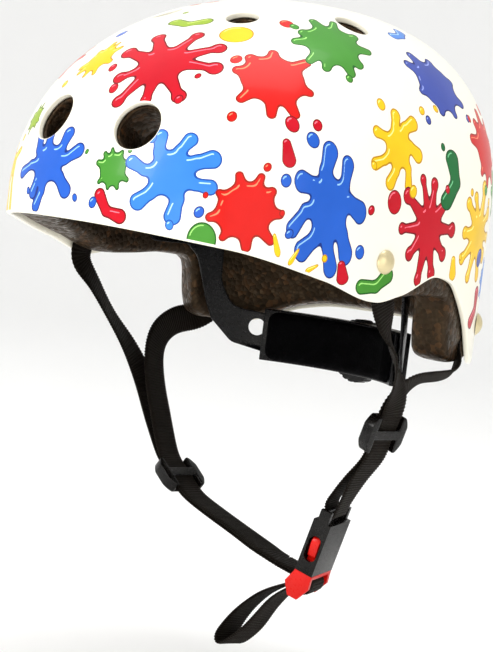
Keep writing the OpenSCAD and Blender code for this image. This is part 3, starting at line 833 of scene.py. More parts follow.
place("puddle", "navy", 100, 74, 21, 20, 1.0, 39)
place("puddle", "red", 122, 46, 20, 15, 1.0, 41)
place("bean", "green", 84.5, -24.5, 14, 24, 1.0, 43)
place("pear", "yellow", 105, -13.5, 7.5, 8, 0.95, 45)
place("bean", "crimson", 123, -34, 15, 70, 0.85, 47)
place("pear", "crimson", 75.5, -20, 7, 15, 1.15, 49)
place("dome", "green", 38, -9, 9.5, 0, 0.85, 51)
place("pear", "yellow", 57.5, -10.5, 6.8, 18, 0.5, 53)
place("pear", "yellow", 62.5, -15, 5.6, -28, 0.5, 55)
place("pear", "yellow", 67.6, -19.5, 4.6, -60, 0.6, 57)
place("drop", "yellow", 70.5, -14.5, 2.0, 0, 1, 59)
# small drops on the shown side
for q, (c, p, z, s) in enumerate([
        ("red", 33, 72, 3.4), ("red", 44, 93, 4.4), ("red", 39, 45, 3.0), ("crimson", 56, 45, 4.4), ("crimson", 63, 46, 3.2),
        ("blue", 36.5, 0, 3.0), ("sky", 29, -7.5, 2.6), ("red", 37.5, 8, 1.7), ("blue", 1.5, -1, 2.2), ("blue", -14, -1, 2.0), ("blue", 6.5, -2, 3.0),
        ("blue", 62.5, 39, 4.2), ("blue", 57.5, 19, 3.4), ("blue", 60.5, -5, 2.6), ("blue", 79.5, -10, 3.6), ("blue", 66, -23.5, 2.2), ("sky", 19, 31, 3.0),
        ("yellow", 81, 60, 3.4), ("yellow", 91.5, 60, 2.6), ("yellow", 80, 31, 2.4), ("yellow", 90, 21, 3.4), ("yellow", 96, 62, 2.2),
        ("crimson", 86.5, 15, 6.0), ("crimson", 81, 10, 2.6), ("crimson", 99, 24, 2.4), ("red", 58, 4, 1.8), ("red", 52, 24, 2.4),
        ("green", 14, 24, 1.6), ("green", 2, 21, 1.5), ("crimson", 1, 52, 3.4), ("crimson", 22, 50, 2.8), ("crimson", 24, 62, 2.0), ("crimson", -3, 62, 3.0),
        ("yellow", -28, 24, 2.2), ("yellow", -19, 52, 2.6), ("yellow", 110, 24, 2.2), ("yellow", 124, 20, 2.6), ("yellow", 108, -8, 2.0),
        ("navy", 93, 56, 2.6), ("navy", 111, 60, 2.4), ("green", 48, 92, 3.0), ("green", 71, 70, 2.6), ("olive", -6, 94, 2.0),
        ("pine", 97, 44, 2.2), ("navy", 121, -8, 5.0), ("red", 112, 60, 2.2), ("crimson", 99, -22, 2.0)]):
    place("drop", c, p, z, s, (q * 37) % 60 - 30, 1.0, 100 + q)
# far side, crown and back: the same family of shapes, freely arranged
for q, (k, c, p, z, s, t, sx) in enumerate([
        ("octo", "blue", -52, 28, 20, 40, 1.0), ("star", "crimson", -68, 0, 21, 10, 0.9), ("puddle", "yellow", -82, 36, 17, 0, 1.0),
        ("bean", "green", -62, 56, 14, 60, 1.0), ("puddle", "red", -40, 62, 18, 20, 1.0), ("star", "yellow", -98, 6, 19, 25, 0.9),
        ("octo", "sky", -120, 6, 24, 0, 0.9), ("puddle", "crimson", -108, 56, 18, 0, 1.0), ("bean", "pine", -86, -20, 10, 10, 1.0),
        ("drip", "red", -142, -6, 18, 0, 1.0), ("star", "blue", -138, 58, 20, 15, 1.0), ("puddle", "green", -152, 14, 14, 30, 1.0),
        ("octo", "crimson", 180, 20, 24, 12, 1.0), ("puddle", "yellow", 180, 68, 18, 40, 1.0), ("star", "blue", 154, -6, 20, 30, 0.9),
        ("puddle", "green", 136, 26, 17, 0, 1.0), ("bean", "crimson", 147, 60, 14, -20, 1.0), ("drip", "yellow", 170, -22, 13, 0, 1.0),
        ("bean", "blue", -128, -38, 12, -60, 0.9), ("puddle", "sky", 132, -18, 12, 10, 1.0), ("bean", "green", -168, -22, 12, 20, 1.0),
        ("puddle", "yellow", -80, 82, 14, 0, 1.0), ("star", "green", 170, 102, 20, 0, 1.0), ("octo", "red", -40, 100, 16, 0, 1.0),
        ("bean", "sky", 100, 97, 12, 30, 1.0), ("bean", "crimson", -110, 94, 12, 0, 1.0), ("puddle", "olive", -25, 34, 9, 0, 0.8)]):
    place(k, c, p, z, s, t, sx, 200 + q)
for q, (c, p, z, s) in enumerate([
        ("blue", -40, 40, 3.5), ("crimson", -58, 14, 3.0), ("red", -52, 52, 3.0), ("yellow", -94, 26, 3.4), ("blue", -106, 20, 4.0), ("crimson", -96, 46, 3.2),
        ("green", -74, 46, 3.2), ("sky", -134, 24, 3.6), ("red", -126, 40, 3.4), ("yellow", -114, 34, 3.0), ("green", -148, 36, 3.2), ("crimson", -166, 42, 3.6),
        ("yellow", 164, 44, 3.0), ("blue", 140, 6, 3.4), ("red", 128, 66, 3.6), ("green", 120, 26, 3.0), ("crimson", 164, 0, 3.2), ("blue", -160, -2, 3.0),
        ("yellow", -150, 74, 3.8), ("red", -70, 66, 3.4), ("sky", -92, 64, 3.6), ("green", 150, 82, 3.6), ("blue", -20, 80, 3.6), ("yellow", -76, 14, 3.0)]):
    place("drop", c, p, z, s, (q * 53) % 60 - 30, 1.0, 300 + q)


def chart_of_local(c, n, e1, e2, uv):
    q = c + uv[:, :1] * e1 + uv[:, 1:] * e2
    core = c - n * 80
    ray = unit(q - core)
    h3 = hit(q + ray * 45, core + ray * 12, 0.0)
    return to_chart(*phi_z(h3, 0.0), 0.0)


def decal_list():
    out = []
    for kind, colour, phi, z, size, turn, sx, seed in SPLASHES:
        c = skin(phi, z, 0.0)
        n = normal_at(c[None], 0.0)[0]
        up = V3(0, 0, 1) if n[2] < 0.93 else V3(0, 1, 0)
        e1 = unit(np.cross(up, n))
        e2 = np.cross(n, e1)
        F, x0, h = splash(kind, size, seed)
        a = math.radians(turn)
        R = np.array([[math.cos(a), -math.sin(a)], [math.sin(a), math.cos(a)]])
        base = PAINT_ID[colour]
        small = size < 9
        gy, gx = np.gradient(F, h)
        sets = [(F - 0.0, base + 1, 1.0 if not small else 0.7), (F + (0.75 if not small else 0.45), base, 1.0 if not small else 0.7)]
        # a light stroke that follows the edge on the side the light falls on
        g = np.hypot(gx, gy) + 1e-9
        lx, ly = math.cos(math.radians(128 - turn)), math.sin(math.radians(128 - turn))
        facing = (gx * lx + gy * ly) / g
        depth = 2.1 if size > 12 else (1.5 if not small else 1.15)
        width = 0.34 if size > 12 else 0.28
        if size > 2.3:
            hi = np.maximum(np.abs(F + depth) - width, (0.72 - facing) * 1.6)
            sets.append((hi, base + 2, 0.8))
        for fld, idx, step in sets:
            under = {base + 1: 0, base: base + 1, base + 2: base}[idx]
            for loop in contour(fld, x0, x0, h):
                if np.ptp(loop[:, 0]) + np.ptp(loop[:, 1]) < 1.6:
                    continue
                uv = resample(loop, step) * np.array([sx, 1.0])
                x, y = loop[:, 0], loop[:, 1]
                turns = (x * np.roll(y, -1) - np.roll(x, -1) * y).sum()
                ch = chart_of_local(c, n, e1, e2, uv @ R.T)
                if turns < 0:  # an outer edge; the others are holes
                    ch = ch[::-1]
                    idx_here = idx
                else:
                    idx_here = under
                out.append((ch, idx_here))
    return out


DECALS = decal_list()

# ------------------------------------------------------------------ shell and liner
v, f, mi, nv = wall_solid("outer_shell", 0.0, 3.0, rim_shell, lambda p: rim_shell(p) + 1.2, 1.2, 0.7,
                          [x[2] for x in VENTS], 2.8, DECALS, SHELL_MATS, 6)
shell = make("painted_shell", v, f, SHELL_MATS, "helmet", mi, normals=nv)
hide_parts("outer_shell")

v, f, mi, nv = wall_solid("eps", 3.4, 22.0, rim_liner, lambda p: rim_liner(p) + 4.2, 3.0, 1.0,
                          [x[2] - 1.2 for x in VENTS], 3.6, [], [M_EPS], 14)
liner = make("bead_foam_liner", v, f, [M_EPS], "helmet", normals=nv)
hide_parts("eps_liner")


# ------------------------------------------------------------------ webbing
def cr(p, n):
    p = np.array(p, float)
    out = []
    m = len(p)
    for i in range(m - 1):
        a, b, c, d = p[max(i - 1, 0)], p[i], p[i + 1], p[min(i + 2, m - 1)]
        t = np.linspace(0, 1, n, endpoint=False)[:, None]
        out.append(0.5 * (2 * b + (c - a) * t + (2 * a - 5 * b + 4 * c - d) * t * t + (3 * b - a - 3 * c + d) * t**3))
    return np.vstack(out + [p[-1:]])


WEB_W, WEB_T = 15.0, 1.5


def webbing(name, route, body, nodes, ribs=1.55, phase=0.0, keep=None):
    pts = cr([q[0] for q in route], 40)
    wd = cr([q[1] for q in route], 40)
    s = np.concatenate([[0], np.cumsum(np.linalg.norm(np.diff(pts, axis=0), axis=1))])
    n = int(s[-1] / 0.3)
    t = np.linspace(0, s[-1], n)
    C = np.stack([np.interp(t, s, pts[:, k]) for k in range(3)], -1)
    W = np.stack([np.interp(t, s, wd[:, k]) for k in range(3)], -1)
    g = np.exp(-0.5 * (np.arange(-40, 41) / 13.0) ** 2)
    g /= g.sum()

    def soft(q):  # evens out the turns, ends kept
        pad_a = 2 * q[:1] - q[40:0:-1]
        pad_b = 2 * q[-1:] - q[-2:-42:-1]
        z = np.vstack([pad_a, q, pad_b])
        return np.stack([np.convolve(z[:, k], g, "valid") for k in range(3)], -1)

    C0 = C.copy()
    C, W = soft(C), soft(W)
    if keep is not None:  # wound tight round a bar there
        wgt = keep(t / s[-1])[:, None]
        C = C * (1 - wgt) + C0 * wgt
    T = unit(np.gradient(C, axis=0))
    W = unit(W - (W * T).sum(1)[:, None] * T)
    N = unit(np.cross(T, W))
    # rounded flat section: (across, thickness, how far the ribs move it)
    prof = []
    m = 13
    for i in range(m):
        u = -1 + 2 * i / (m - 1)
        e = 1 - max(0, abs(u) - 0.86) / 0.14 * 0.55
        prof.append((u * 0.965, e))
    ring = [(u, e) for u, e in prof] + [(1.0, 0.0)] + [(u, -e) for u, e in prof[::-1]] + [(-1.0, 0.0)]
    V, U = [], []
    ph = (t + phase) / ribs * 2 * math.pi
    rib = 0.5 + 0.5 * np.cos(ph)
    rib2 = 0.5 + 0.5 * np.cos(ph + math.pi)
    for (u, e) in ring:
        side = 1 if e >= 0 else -1
        rr = rib if e >= 0 else rib2
        edge = abs(u) > 0.9
        th = e * WEB_T / 2 * 0.68 + side * (0.32 * WEB_T / 2 + 0.06) * rr**0.8 * (0 if e == 0 else 1)
        wdh = u * (WEB_W / 2 - 0.3) + (np.sign(u) * 0.42 * (0.5 + 0.5 * np.cos(ph * 1.0 + 1.0)) if edge else 0)
        V.append(C + W * np.asarray(wdh).reshape(-1, 1) * np.ones((n, 1)) + N * np.asarray(th).reshape(-1, 1))
        U.append(np.stack([t / 10.0, np.full(n, u * 0.75)], -1))
    K = len(ring)
    V = np.stack(V, 1).reshape(-1, 3)
    U = np.stack(U, 1).reshape(-1, 2)
    F = []
    for i in range(n - 1):
        for j in range(K):
            a, b = i * K + j, i * K + (j + 1) % K
            F.append((a, b, b + K, a + K))
    F.append(tuple(range(K))[::-1])
    F.append(tuple((n - 1) * K + j for j in range(K)))
    ob = make(name, V, F, [M_WEB], body, uvs=U)
    bm = bmesh.new()
    bm.from_mesh(ob.data)
    bmesh.ops.recalc_face_normals(bm, faces=bm.faces)
    bm.to_mesh(ob.data)
    bm.free()
    if nodes:
        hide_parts(*nodes)
    return ob


TILT, TURN = math.radians(17.5), math.radians(16.5)
BAT = V3(63.5, 20, -141)
BD = V3(-math.sin(TILT), 0, -math.cos(TILT))
BT = V3(math.cos(TURN) * math.cos(TILT), math.sin(TURN), -math.cos(TURN) * math.sin(TILT))
BW = V3(-math.sin(TURN) * math.cos(TILT), math.cos(TURN), math.sin(TURN) * math.sin(TILT))


def bk(x, y, z):
    return BAT + BT * x + BW * y - BD * z


def wrap(cx, cz, r, a0, a1, n):
    out = []
    for i in range(n + 1):
        a = math.radians(a0 + (a1 - a0) * i / n)
        out.append((bk(cx + r * math.cos(a), 0, cz + r * math.sin(a)), BW))
    return out


YY = V3(0, 1, 0)
LS, LD, LN = V3(86, 22, -98), BD, V3(math.cos(TILT), 0, -math.sin(TILT))
A38 = math.radians(38)
RS, RD, RN = V3(-49, 20, -143), V3(math.cos(A38), 0, -math.sin(A38)), V3(math.sin(A38), 0, math.cos(A38))
LAY = 0.85
P = lambda *v: V3(*v)

def side(sg, y, z, d):
    """A point at depth d on the flank, and the level direction along it."""
    a, b = A0 - d, B0 - d
    f = lambda q: a * (1 - abs(q / b) ** NN) ** (1 / NN)
    return P(sg * f(y), y, z), P(sg * (f(y + 1) - f(y - 1)) / 2, 1, 0)


FL, RL = 5.0, 4.9  # depth of the front and rear webbing inside the shell
left_front = ([side(1, -17, -3, FL), side(1, -13, -13, FL), side(1, -8, -25, FL), (P(98.3, -4, -35), P(0.05, 1, 0)),
               (P(97.5, 2, -46), P(-0.35, 0.95, 0)), (P(97, 9, -57), P(-0.8, 0.6, -0.1)), (P(97.8, 14, -70), P(-0.45, 0.9, 0))]
              + [(LS + k * LD + (LAY + (0.35 if k < -10 else 0)) * LN, YY) for k in (-14, -5, 5, 14)]
              + [(P(75, 21.5, -122.5), P(-0.1, 1, 0)), (bk(3.2, 0, 6), BW)] + wrap(0, 0, 2.65, 10, -84, 4))
left_rear = ([(skin(134.5, -35, RL), P(0.42, -0.42, 0.8)), (skin(131, -42, RL), P(0.42, -0.42, 0.8)), (skin(126, -49, RL), P(0.42, -0.42, 0.8)),
              (skin(121.5, -56, RL), P(0.42, -0.5, 0.75)), (P(92, 64, -64.5), P(0.7, -0.3, 0.6)), (P(92.5, 55, -68), P(0.8, 0, 0.5)),
              (P(92, 43, -69), P(0.8, 0.1, 0.5)), (P(91.2, 29, -74), P(0.5, -0.5, 0.7))]
             + [(LS + k * LD - (LAY + (0.35 if k < -10 else 0)) * LN, -YY) for k in (-14, -5, 5, 14)]
             + [(P(72.5, 20, -121.5), P(0.1, -1, 0)), (bk(-3.2, 0, 6), -BW)] + [(q, -w_) for q, w_ in wrap(0, 0, 2.65, 170, 264, 4)])
right_front = ([side(-1, -11, -3, FL), side(-1, -15, -13, FL), side(-1, -22, -25, FL), (P(-97.6, -25, -35), P(-0.1, 1, 0.1)),
                (P(-96, -15, -47), P(-0.5, 0.9, 0.3)), (P(-92.5, -3, -64), P(-0.6, 0.9, 0.2)), (P(-88, 9, -80), P(-0.3, 1, 0.1)),
                (P(-82, 17, -97), YY), (P(-72.5, 19.5, -117), YY)]
               + [(RS + k * RD - LAY * RN, YY) for k in (-13.5, -5, 5, 13.5)]
               + [(P(-22, 19, -157.5), YY), (P(4, 17.5, -164.5), YY), (bk(-26, 0, -37.6), BW), (bk(-16.5, 0, -38.12), BW)])
right_rear = ([(skin(-134.5, -35, RL), P(-0.42, -0.42, 0.8)), (skin(-131, -42, RL), P(-0.42, -0.42, 0.8)), (skin(-126, -48, RL), P(-0.42, -0.42, 0.8)),
               (skin(-121, -54, RL), P(-0.42, -0.42, 0.8)), (P(-92.7, 61.5, -62), P(-0.4, -0.1, 0.9)), (P(-93, 46, -65), P(-0.15, -0.3, 0.93)),
               (P(-89.5, 32, -72), P(-0.1, -0.75, 0.6)), (P(-85, 25, -82), P(0, -1, 0.3)), (P(-78, 21.5, -97), P(0, -1, 0.1)), (P(-69, 20, -114), -YY)]
              + [(RS + k * RD + LAY * RN, -YY) for k in (-13.5, -5, 5, 13.5)]
              + [(P(-21.5, 19, -155.7), -YY), (P(4.5, 17.5, -162.7), -YY), (bk(-26, 0, -35.8), -BW), (bk(-16.5, 0, -36.38), -BW)])
tail = ([(bk(-16.4, 0, -38.15), BW), (bk(-8, 0, -38.1), BW)] + wrap(0.5, -40.5, 2.65, 95, -90, 5) + [(bk(-6, 0, -43.6), BW)]
        + [(P(33, 17, -186), P(0, 1, 0.1)), (P(22, 18, -192.5), P(0, 1, 0.1)), (P(10, 19, -203), P(0.1, 1, 0.1)), (P(1, 20, -214), P(0.2, 1, 0.1)),
           (P(-2, 20, -220.5), P(0.2, 1, 0)), (P(0.5, 20, -223.2), P(0.2, 1, 0)), (P(5, 20, -221), P(0.2, 1, 0)), (P(17, 19.5, -211), P(0.1, 1, 0)),
           (P(27, 18.5, -199), P(0, 1, 0.1)), (P(36, 17.5, -189.5), P(0, 1, 0.1))]
        + [(bk(-5.5, 0, -45.4), BW)] + wrap(0.5, -40.5, 4.4, -95, 92, 6) + [(bk(-8, 0, -36.3), BW), (bk(-16.4, 0, -36.4), BW)])
near_bar = lambda q: np.clip((q - 0.9) / 0.03, 0, 1)
webbing("webbing_left_front", left_front, "helmet", ["left_front_strap"], keep=near_bar)
webbing("webbing_left_rear", left_rear, "helmet", ["left_rear_strap"], phase=0.5, keep=near_bar)
# the right webbing bends below its slider; it rides on no body, its placement baked into its points
for ob in (webbing("webbing_right_front", right_front, None, ["right_front_strap"]),
           webbing("webbing_right_rear", right_rear, None, ["right_rear_strap"], phase=0.7)):
    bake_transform(ob)
webbing("webbing_right_tail", tail, "buckle_male", ["right_strap_tail"], keep=lambda q: np.where(np.abs(q - 0.5) > 0.3, 1.0, np.clip((np.abs(q - 0.5) - 0.26) / 0.04, 0, 1)))

# ------------------------------------------------------------------ hard parts with rounded edges
bevel_copy("front_rivet_heads", ["front_rivets"], M_RIVET, "helmet", 0.35)
bevel_copy("rear_rivet_heads", ["rear_rivets"], M_RIVET, "helmet", 0.35)
bevel_copy("rivet_washer_set", ["rivet_washers"], M_WASH, "helmet", 0.15)
bevel_copy("temple_pin_pair", ["temple_pins"], M_BLACK, "helmet", 0.4)


def round_corners(pts, default=2.0, n=6):
    """Polygon corners (x, y[, radius]) to arcs."""
    out = []
    m = len(pts)
    for i in range(m):
        p, a, b = np.array(pts[i][:2]), np.array(pts[i - 1][:2]), np.array(pts[(i + 1) % m][:2])
        r = pts[i][2] if len(pts[i]) > 2 else default
        u, w = unit(a - p), unit(b - p)
        half = math.acos(float(np.clip(u @ w, -1, 1))) / 2
        if r < 0.02 or abs(half - math.pi / 2) < 0.02:
            out.append(p)
            continue
        cut = min(r / math.tan(half), 0.48 * np.linalg.norm(a - p), 0.48 * np.linalg.norm(b - p))
        for k in range(n + 1):
            t = k / n
            out.append((1 - t) ** 2 * (p + u * cut) + 2 * t * (1 - t) * p + t * t * (p + w * cut))
    return np.array(out)


def sheet(outline, holes, place_at, t0, t1, edge, grid, name, material, body, nodes, flip=False):
    """A thin plate with rounded edges: outline and holes in the flat, thickness t0..t1 along place_at's depth."""
    o = resample(outline, 0.8) if len(outline) < 400 else outline
    polys = []
    for q in [o] + [resample(h, 0.7) for h in holes]:
        x, y = q[:, 0], q[:, 1]
        polys.append(q if (x * np.roll(y, -1) - np.roll(x, -1) * y).sum() > 0 else q[::-1])

    def inset(q, k):
        tan = unit(np.roll(q, -1, 0) - np.roll(q, 1, 0))
        return q + np.stack([-tan[:, 1], tan[:, 0]], -1) * k

    inn = [inset(polys[0], edge)] + [inset(h, -edge) for h in polys[1:]]
    lo_, hi_ = inn[0].min(0), inn[0].max(0)
    gx, gy = np.meshgrid(np.arange(lo_[0], hi_[0], grid), np.arange(lo_[1], hi_[1], grid))
    cv, tri, of = cdt(inn, np.stack([gx.ravel(), gy.ravel()], -1))
    keep = np.array([t for t, o_ in zip(tri, of) if set(o_) == {0}])
    used = np.unique(keep)
    nb = sum(len(q) for q in inn)
    base = np.arange(nb)
    used = np.unique(np.concatenate([base, used]))
    rm = -np.ones(len(cv), int)
    rm[used] = np.arange(len(used))
    cv, keep = cv[used], rm[keep]
    m = len(cv)
    V = [place_at(cv, t1), place_at(cv, t0)]
    F = [list(t) for t in keep] + [[t[0] + m, t[2] + m, t[1] + m] for t in keep]
    cnt, start = 2 * m, 0
    for q, qi in zip(polys, inn):
        n_ = len(q)
        rows = [np.arange(start, start + n_)]
        for a, dep in ((0.3, 0.0), (0.7, 0.12), (0.93, 0.3), (1.0, 0.5), (0.93, 0.7), (0.7, 0.88), (0.3, 1.0)):
            ring = qi + (q - qi) * a
            e = edge
            th = t1 + (t0 - t1) * 0.5
            half_t = (t1 - t0) / 2
            # a quarter round of radius edge on each face
            if dep < 0.5:
                tt = t1 - e * (1 - math.sqrt(max(0, 1 - a * a))) * min(1, half_t / e)
            elif dep > 0.5:
                tt = t0 + e * (1 - math.sqrt(max(0, 1 - a * a))) * min(1, half_t / e)
            else:
                tt = th
            V.append(place_at(ring, tt))
            rows.append(np.arange(cnt, cnt + n_))
            cnt += n_
        rows.append(np.arange(start + m, start + m + n_))
        for A_, B_ in zip(rows[:-1], rows[1:]):
            for i in range(n_):
                j = (i + 1) % n_
                F.append([A_[i], B_[i], B_[j], A_[j]])
        start += n_
    ob = make(name, np.concatenate(V), F, [material], body, sharp=50)
    bm = bmesh.new()
    bm.from_mesh(ob.data)
    bmesh.ops.recalc_face_normals(bm, faces=bm.faces)
    bm.to_mesh(ob.data)
    bm.free()
    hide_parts(*nodes)
    return ob


def arm_outline(sg):
    """Outline of one arm, along the band (mm at radius 80) and height."""
    k = math.radians(1) * 80
    dz = -67.5
    z0, z1 = (dz + 5.65, dz + 10) if sg > 0 else (dz - 10, dz - 5.65)
    teeth = []
    for q in range(-6, 6):
        c = (q + 0.5) * 1.8 * k
        ze = z0 if sg > 0 else z1
        teeth += [(c - 0.7, ze), (c - 0.27, ze - sg * 1.3), (c + 0.27, ze - sg * 1.3), (c + 0.7, ze)]
    low = [(-13 * k, z0, 0.6)] + ([(x, y, 0.12) for x, y in teeth] if sg > 0 else []) + [(22.5 * k, z0, 1.0)]
    if sg > 0:
        pts = low + [(23.5 * k, -73, 2), (50 * k, -72.2, 5), (59 * k, -60.5, 9), (62 * k, -50, 14), (67.2 * k, -28, 12), (72 * k, -22, 3),
                     (89 * k, -22, 5), (91 * k, -15, 5), (89 * k, -8, 5), (60 * k, -8, 5), (57 * k, -20, 16), (56.5 * k, -40, 16), (51 * k, -53, 12),
                     (38 * k, -54.6, 6), (30 * k, -55, 2), (28 * k, z1, 2), (-13 * k, z1, 0.6)]
    else:
        pts = low + [(23.5 * k, -77.5, 2), (30 * k, -77.3, 2), (50 * k, -72.2, 8), (59 * k, -60.5, 9), (62 * k, -50, 14), (67.2 * k, -28, 12), (72 * k, -22, 3),
                     (89 * k, -22, 5), (91 * k, -15, 5), (89 * k, -8, 5), (60 * k, -8, 5), (57 * k, -20, 16), (56.5 * k, -40, 16), (51 * k, -53, 12),
                     (38 * k, -54.6, 6), (24 * k, -55, 2), (22 * k, -70, 2), (21 * k, z1, 1)] + [(x, y, 0.12) for x, y in teeth[::-1]] + [(-13 * k, z1, 0.6)]
    return round_corners(pts), k


for sg, nm in ((1, "left_arm"), (-1, "right_arm")):
    ol, k_ = arm_outline(sg)
    an = np.linspace(0, 2 * math.pi, 48, endpoint=False)
    hole = np.stack([40.5 * k_ + 4.6 * np.cos(an), -62.5 + 4.6 * np.sin(an)], -1)
    slot_ = round_corners([(72.5 * k_, -18.3, 3.2), (87.5 * k_, -18.3, 3.2), (87.5 * k_, -11.7, 3.2), (72.5 * k_, -11.7, 3.2)])

    def arc_at(q, r, sg=sg):
        t = q[:, 0] / 80.0
        return np.stack([sg * r * np.sin(t), 7 + r * np.cos(t), q[:, 1]], -1)

    sheet(ol, [hole, slot_], arc_at, 79.2, 80.8, 0.45, 2.6, nm.replace("_", "_strip_"), M_ARM, nm, [nm])
bevel_copy("housing_tray", ["cradle_housing"], M_ARM, "cradle", 0.5, 3)
bevel_copy("housing_back", ["housing_cover"], M_ARM, "cradle", 0.8, 3)
bevel_copy("dial_grip", ["dial_knob"], M_RUB, "dial", 0.5, 2)
bevel_copy("pinion", ["dial_pinion"], M_PIN, "dial", 0.08, 1)
bevel_copy("slider_left", ["left_slider"], M_BLACK, "left_slider", 1.5, 5)
bevel_copy("slider_right", ["right_slider"], M_BLACK, "right_slider", 1.5, 5)
bevel_copy("buckle_socket", ["buckle_female"], M_BLACK, "helmet", 0.9, 3)
bevel_copy("buckle_plug", ["buckle_male"], M_RED, "buckle_male", 0.4, 2)
bevel_copy("prong_front", ["buckle_prong_front"], M_RED, "prong_front", 0.5, 3)
bevel_copy("prong_rear", ["buckle_prong_rear"], M_RED, "prong_rear", 0.5, 3)

# ------------------------------------------------------------------ pads
PAD_D = 22.8


def pad(name, p0, p1, z0, z1, thick, cad_node, nu=40, nw=20, rnd=0.22, body="helmet", pos=None, groove=0.75, roll=5.5):
    """A crowned closed pad on the liner's inner face, with rounded corners."""
    V, F, U = [], [], []

    def at(u, w, dep):
        if pos:
            return pos(u, w, dep)
        return skin(p0 + (p1 - p0) * u, z0 + (z1 - z0) * w, PAD_D + dep)

    Lu = np.linalg.norm(at(0.0, 0.5, 0) - at(1.0, 0.5, 0))
    Lw = np.linalg.norm(at(0.5, 0.0, 0) - at(0.5, 1.0, 0))
    rc = rnd * min(Lu, Lw)
    grid = {}
    for side in (0, 1):
        for j in range(nw + 1):
            for i in range(nu + 1):
                a, b = -1 + 2 * i / nu, -1 + 2 * j / nw
                # square to rounded rectangle
                x, y = a * Lu / 2, b * Lw / 2
                ex, ey = abs(x) - (Lu / 2 - rc), abs(y) - (Lw / 2 - rc)
                if ex > 0 and ey > 0:
                    k = max(ex, ey) / math.hypot(ex, ey)
                    x = math.copysign(Lu / 2 - rc + ex * k, x)
                    y = math.copysign(Lw / 2 - rc + ey * k, y)
                # distance in from the edge
                dx, dy = Lu / 2 - abs(x), Lw / 2 - abs(y)
                if ex > 0 and ey > 0:
                    dd = rc - math.hypot(abs(x) - (Lu / 2 - rc), abs(y) - (Lw / 2 - rc))
                else:
                    dd = min(dx, dy)
                dd = max(dd, 0)
                crown = (1 - max(0, 1 - dd / roll) ** 2.4) ** 0.55
                seam = -groove * math.exp(-((dd - 2.6) / 0.7) ** 2)
                dep = 0.15 + (0.0 if side == 0 else (0.25 + (thick - 0.5) * crown + (seam if dd > 0.8 else 0)))
                if side == 0:
                    dep = 0.1 * crown
                grid[(side, i, j)] = len(V)
                V.append(at(0.5 + x / Lu, 0.5 + y / Lw, dep if side else dep))
                U.append((x / 10, y / 10))
    for side in (0, 1):
        for j in range(nw):
            for i in range(nu):
                q = [grid[(side, i, j)], grid[(side, i + 1, j)], grid[(side, i + 1, j + 1)], grid[(side, i, j + 1)]]
                F.append(q if side == 1 else q[::-1])
    edge = [(i, 0) for i in range(nu)] + [(nu, j) for j in range(nw)] + [(i, nw) for i in range(nu, 0, -1)] + [(0, j) for j in range(nw, 0, -1)]
    for k in range(len(edge)):
        a, b = edge[k], edge[(k + 1) % len(edge)]
        F.append([grid[(0, *a)], grid[(0, *b)], grid[(1, *b)], grid[(1, *a)]])
    mt = M_CPAD if body == "cradle" else M_PAD
    ob = make(name, V, F, [mt], body, uvs=U)
    bm = bmesh.new()
    bm.from_mesh(ob.data)
    bmesh.ops.remove_doubles(bm, verts=bm.verts, dist=1e-6)
    bmesh.ops.recalc_face_normals(bm, faces=bm.faces)
    bm.to_mesh(ob.data)
    bm.free()
    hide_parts(cad_node)
    return ob


pad("brow_cushion", -46, 46, -3, 17, 5.7, "brow_pad", 90, 20)
pad("left_side_cushion", 63, 87, -14, 20, 5.7, "left_side_pad", 40, 40)
pad("right_side_cushion", -87, -63, -14, 20, 5.7, "right_side_pad", 40, 40)
pad("rear_cushion", 150, 210, -16, 14, 5.7, "rear_pad", 70, 30)


def crown_pos(u, w, dep):
    a, b = 2 * u - 1, 2 * w - 1
    x, y = 30 * a, 20 + 30 * b
    d = PAD_D + 1.4 + dep
    q = min(0.98, math.hypot(x / (A0 - d), (y - 20) / (B0 - d)))
    return V3(x, y, (H0 - d) * (1 - q**PP) ** (1 / PP) - 0.8 * math.hypot(a, b))


pad("crown_cushion", 0, 0, 0, 0, 5.4, "crown_pad", 44, 44, rnd=0.5, pos=crown_pos)


def nape_pos(u, w, dep):
    t = math.radians(-36 + 72 * u)
    r = 76.5 - dep * 4.2 / 5.7
    return V3(r * math.sin(t), 7 + r * math.cos(t), -79 + 26 * w)


pad("nape_cushion", 0, 0, 0, 0, 5.7, "cradle_pad", 110, 40, rnd=0.2, body="cradle", pos=nape_pos, groove=0.0, roll=4.5)

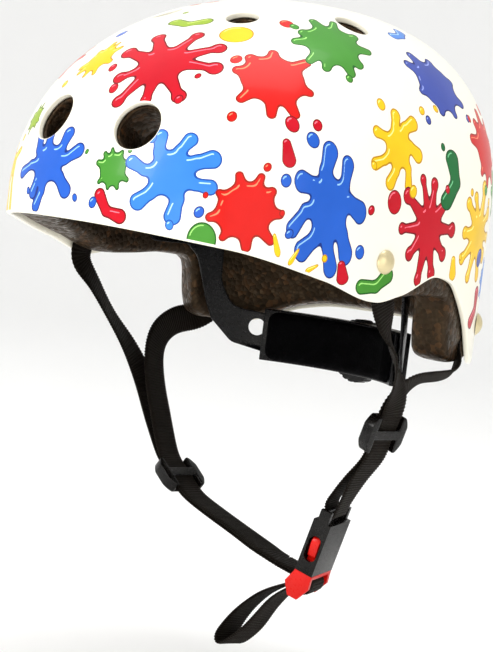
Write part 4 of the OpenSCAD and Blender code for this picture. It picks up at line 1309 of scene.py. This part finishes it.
# ------------------------------------------------------------------ stage, light, camera
C = Vector((0.83043, -0.8497, 0.02365))
Fw, Rt, Up = Vector((-0.69478, 0.71602, -0.06774)), Vector((0.7065, 0.6971, 0.12213)), Vector((-0.13467, -0.037, 0.9902))
cam = bpy.data.cameras.new("camera")
cam.lens = 2347.6 / 652 * 36
cam.sensor_width = 36
cam.clip_start, cam.clip_end = 0.05, 50
camo = bpy.data.objects.new("camera", cam)
bpy.context.scene.collection.objects.link(camo)
Rm = Matrix((Rt, Up, -Fw)).transposed()
camo.matrix_world = Matrix.Translation(C) @ Rm.to_4x4()
bpy.context.scene.camera = camo

fl = bpy.data.meshes.new("floor")
z0 = -0.2385
n = 40
vv, ff = [], []
for j in range(n + 1):
    for i in range(n + 1):
        x, y = -6 + 12 * i / n, -6 + 12 * j / n
        r = math.hypot(x, y)
        up = 0 if r < 2.6 else (r - 2.6) ** 2 * 0.55
        vv.append((x, y, z0 + up))
for j in range(n):
    for i in range(n):
        a = j * (n + 1) + i
        ff.append((a, a + 1, a + n + 2, a + n + 1))
fl.from_pydata(vv, [], ff)
fl.shade_smooth()
m, nt, b = mat("floor_white", (0.94, 0.94, 0.935), 0.9, 0.1)
fl.materials.append(m)
flo = bpy.data.objects.new("floor", fl)
bpy.context.scene.collection.objects.link(flo)

w = bpy.data.worlds.new("world")
bpy.context.scene.world = w
w.use_nodes = True
w.node_tree.nodes["Background"].inputs[0].default_value = (1, 1, 1, 1)
w.node_tree.nodes["Background"].inputs[1].default_value = 1.0


def area(name, loc, target, size, power, color=(1, 1, 1), sy=None):
    l = bpy.data.lights.new(name, "AREA")
    l.energy = power
    l.color = color
    l.size = size
    if sy:
        l.shape = "RECTANGLE"
        l.size_y = sy
    o = bpy.data.objects.new(name, l)
    o.location = loc
    d = Vector(target) - Vector(loc)
    o.rotation_euler = d.to_track_quat("-Z", "Y").to_euler()
    bpy.context.scene.collection.objects.link(o)
    return o


area("key", (-0.35, -1.5, 0.75), (0, 0, 0), 0.7, 16, (1, 0.985, 0.96))
area("fill", (1.5, -0.5, 0.3), (0, 0, 0), 1.2, 5, (1, 0.97, 0.92))
area("top", (0.1, 0.1, 1.5), (0, 0, 0), 0.9, 9, (1, 1, 1))
area("low", (0.5, -0.9, -0.16), (0, 0, -0.02), 0.6, 2.2, (1, 0.93, 0.82))

bpy.context.scene.view_settings.view_transform = "Standard"
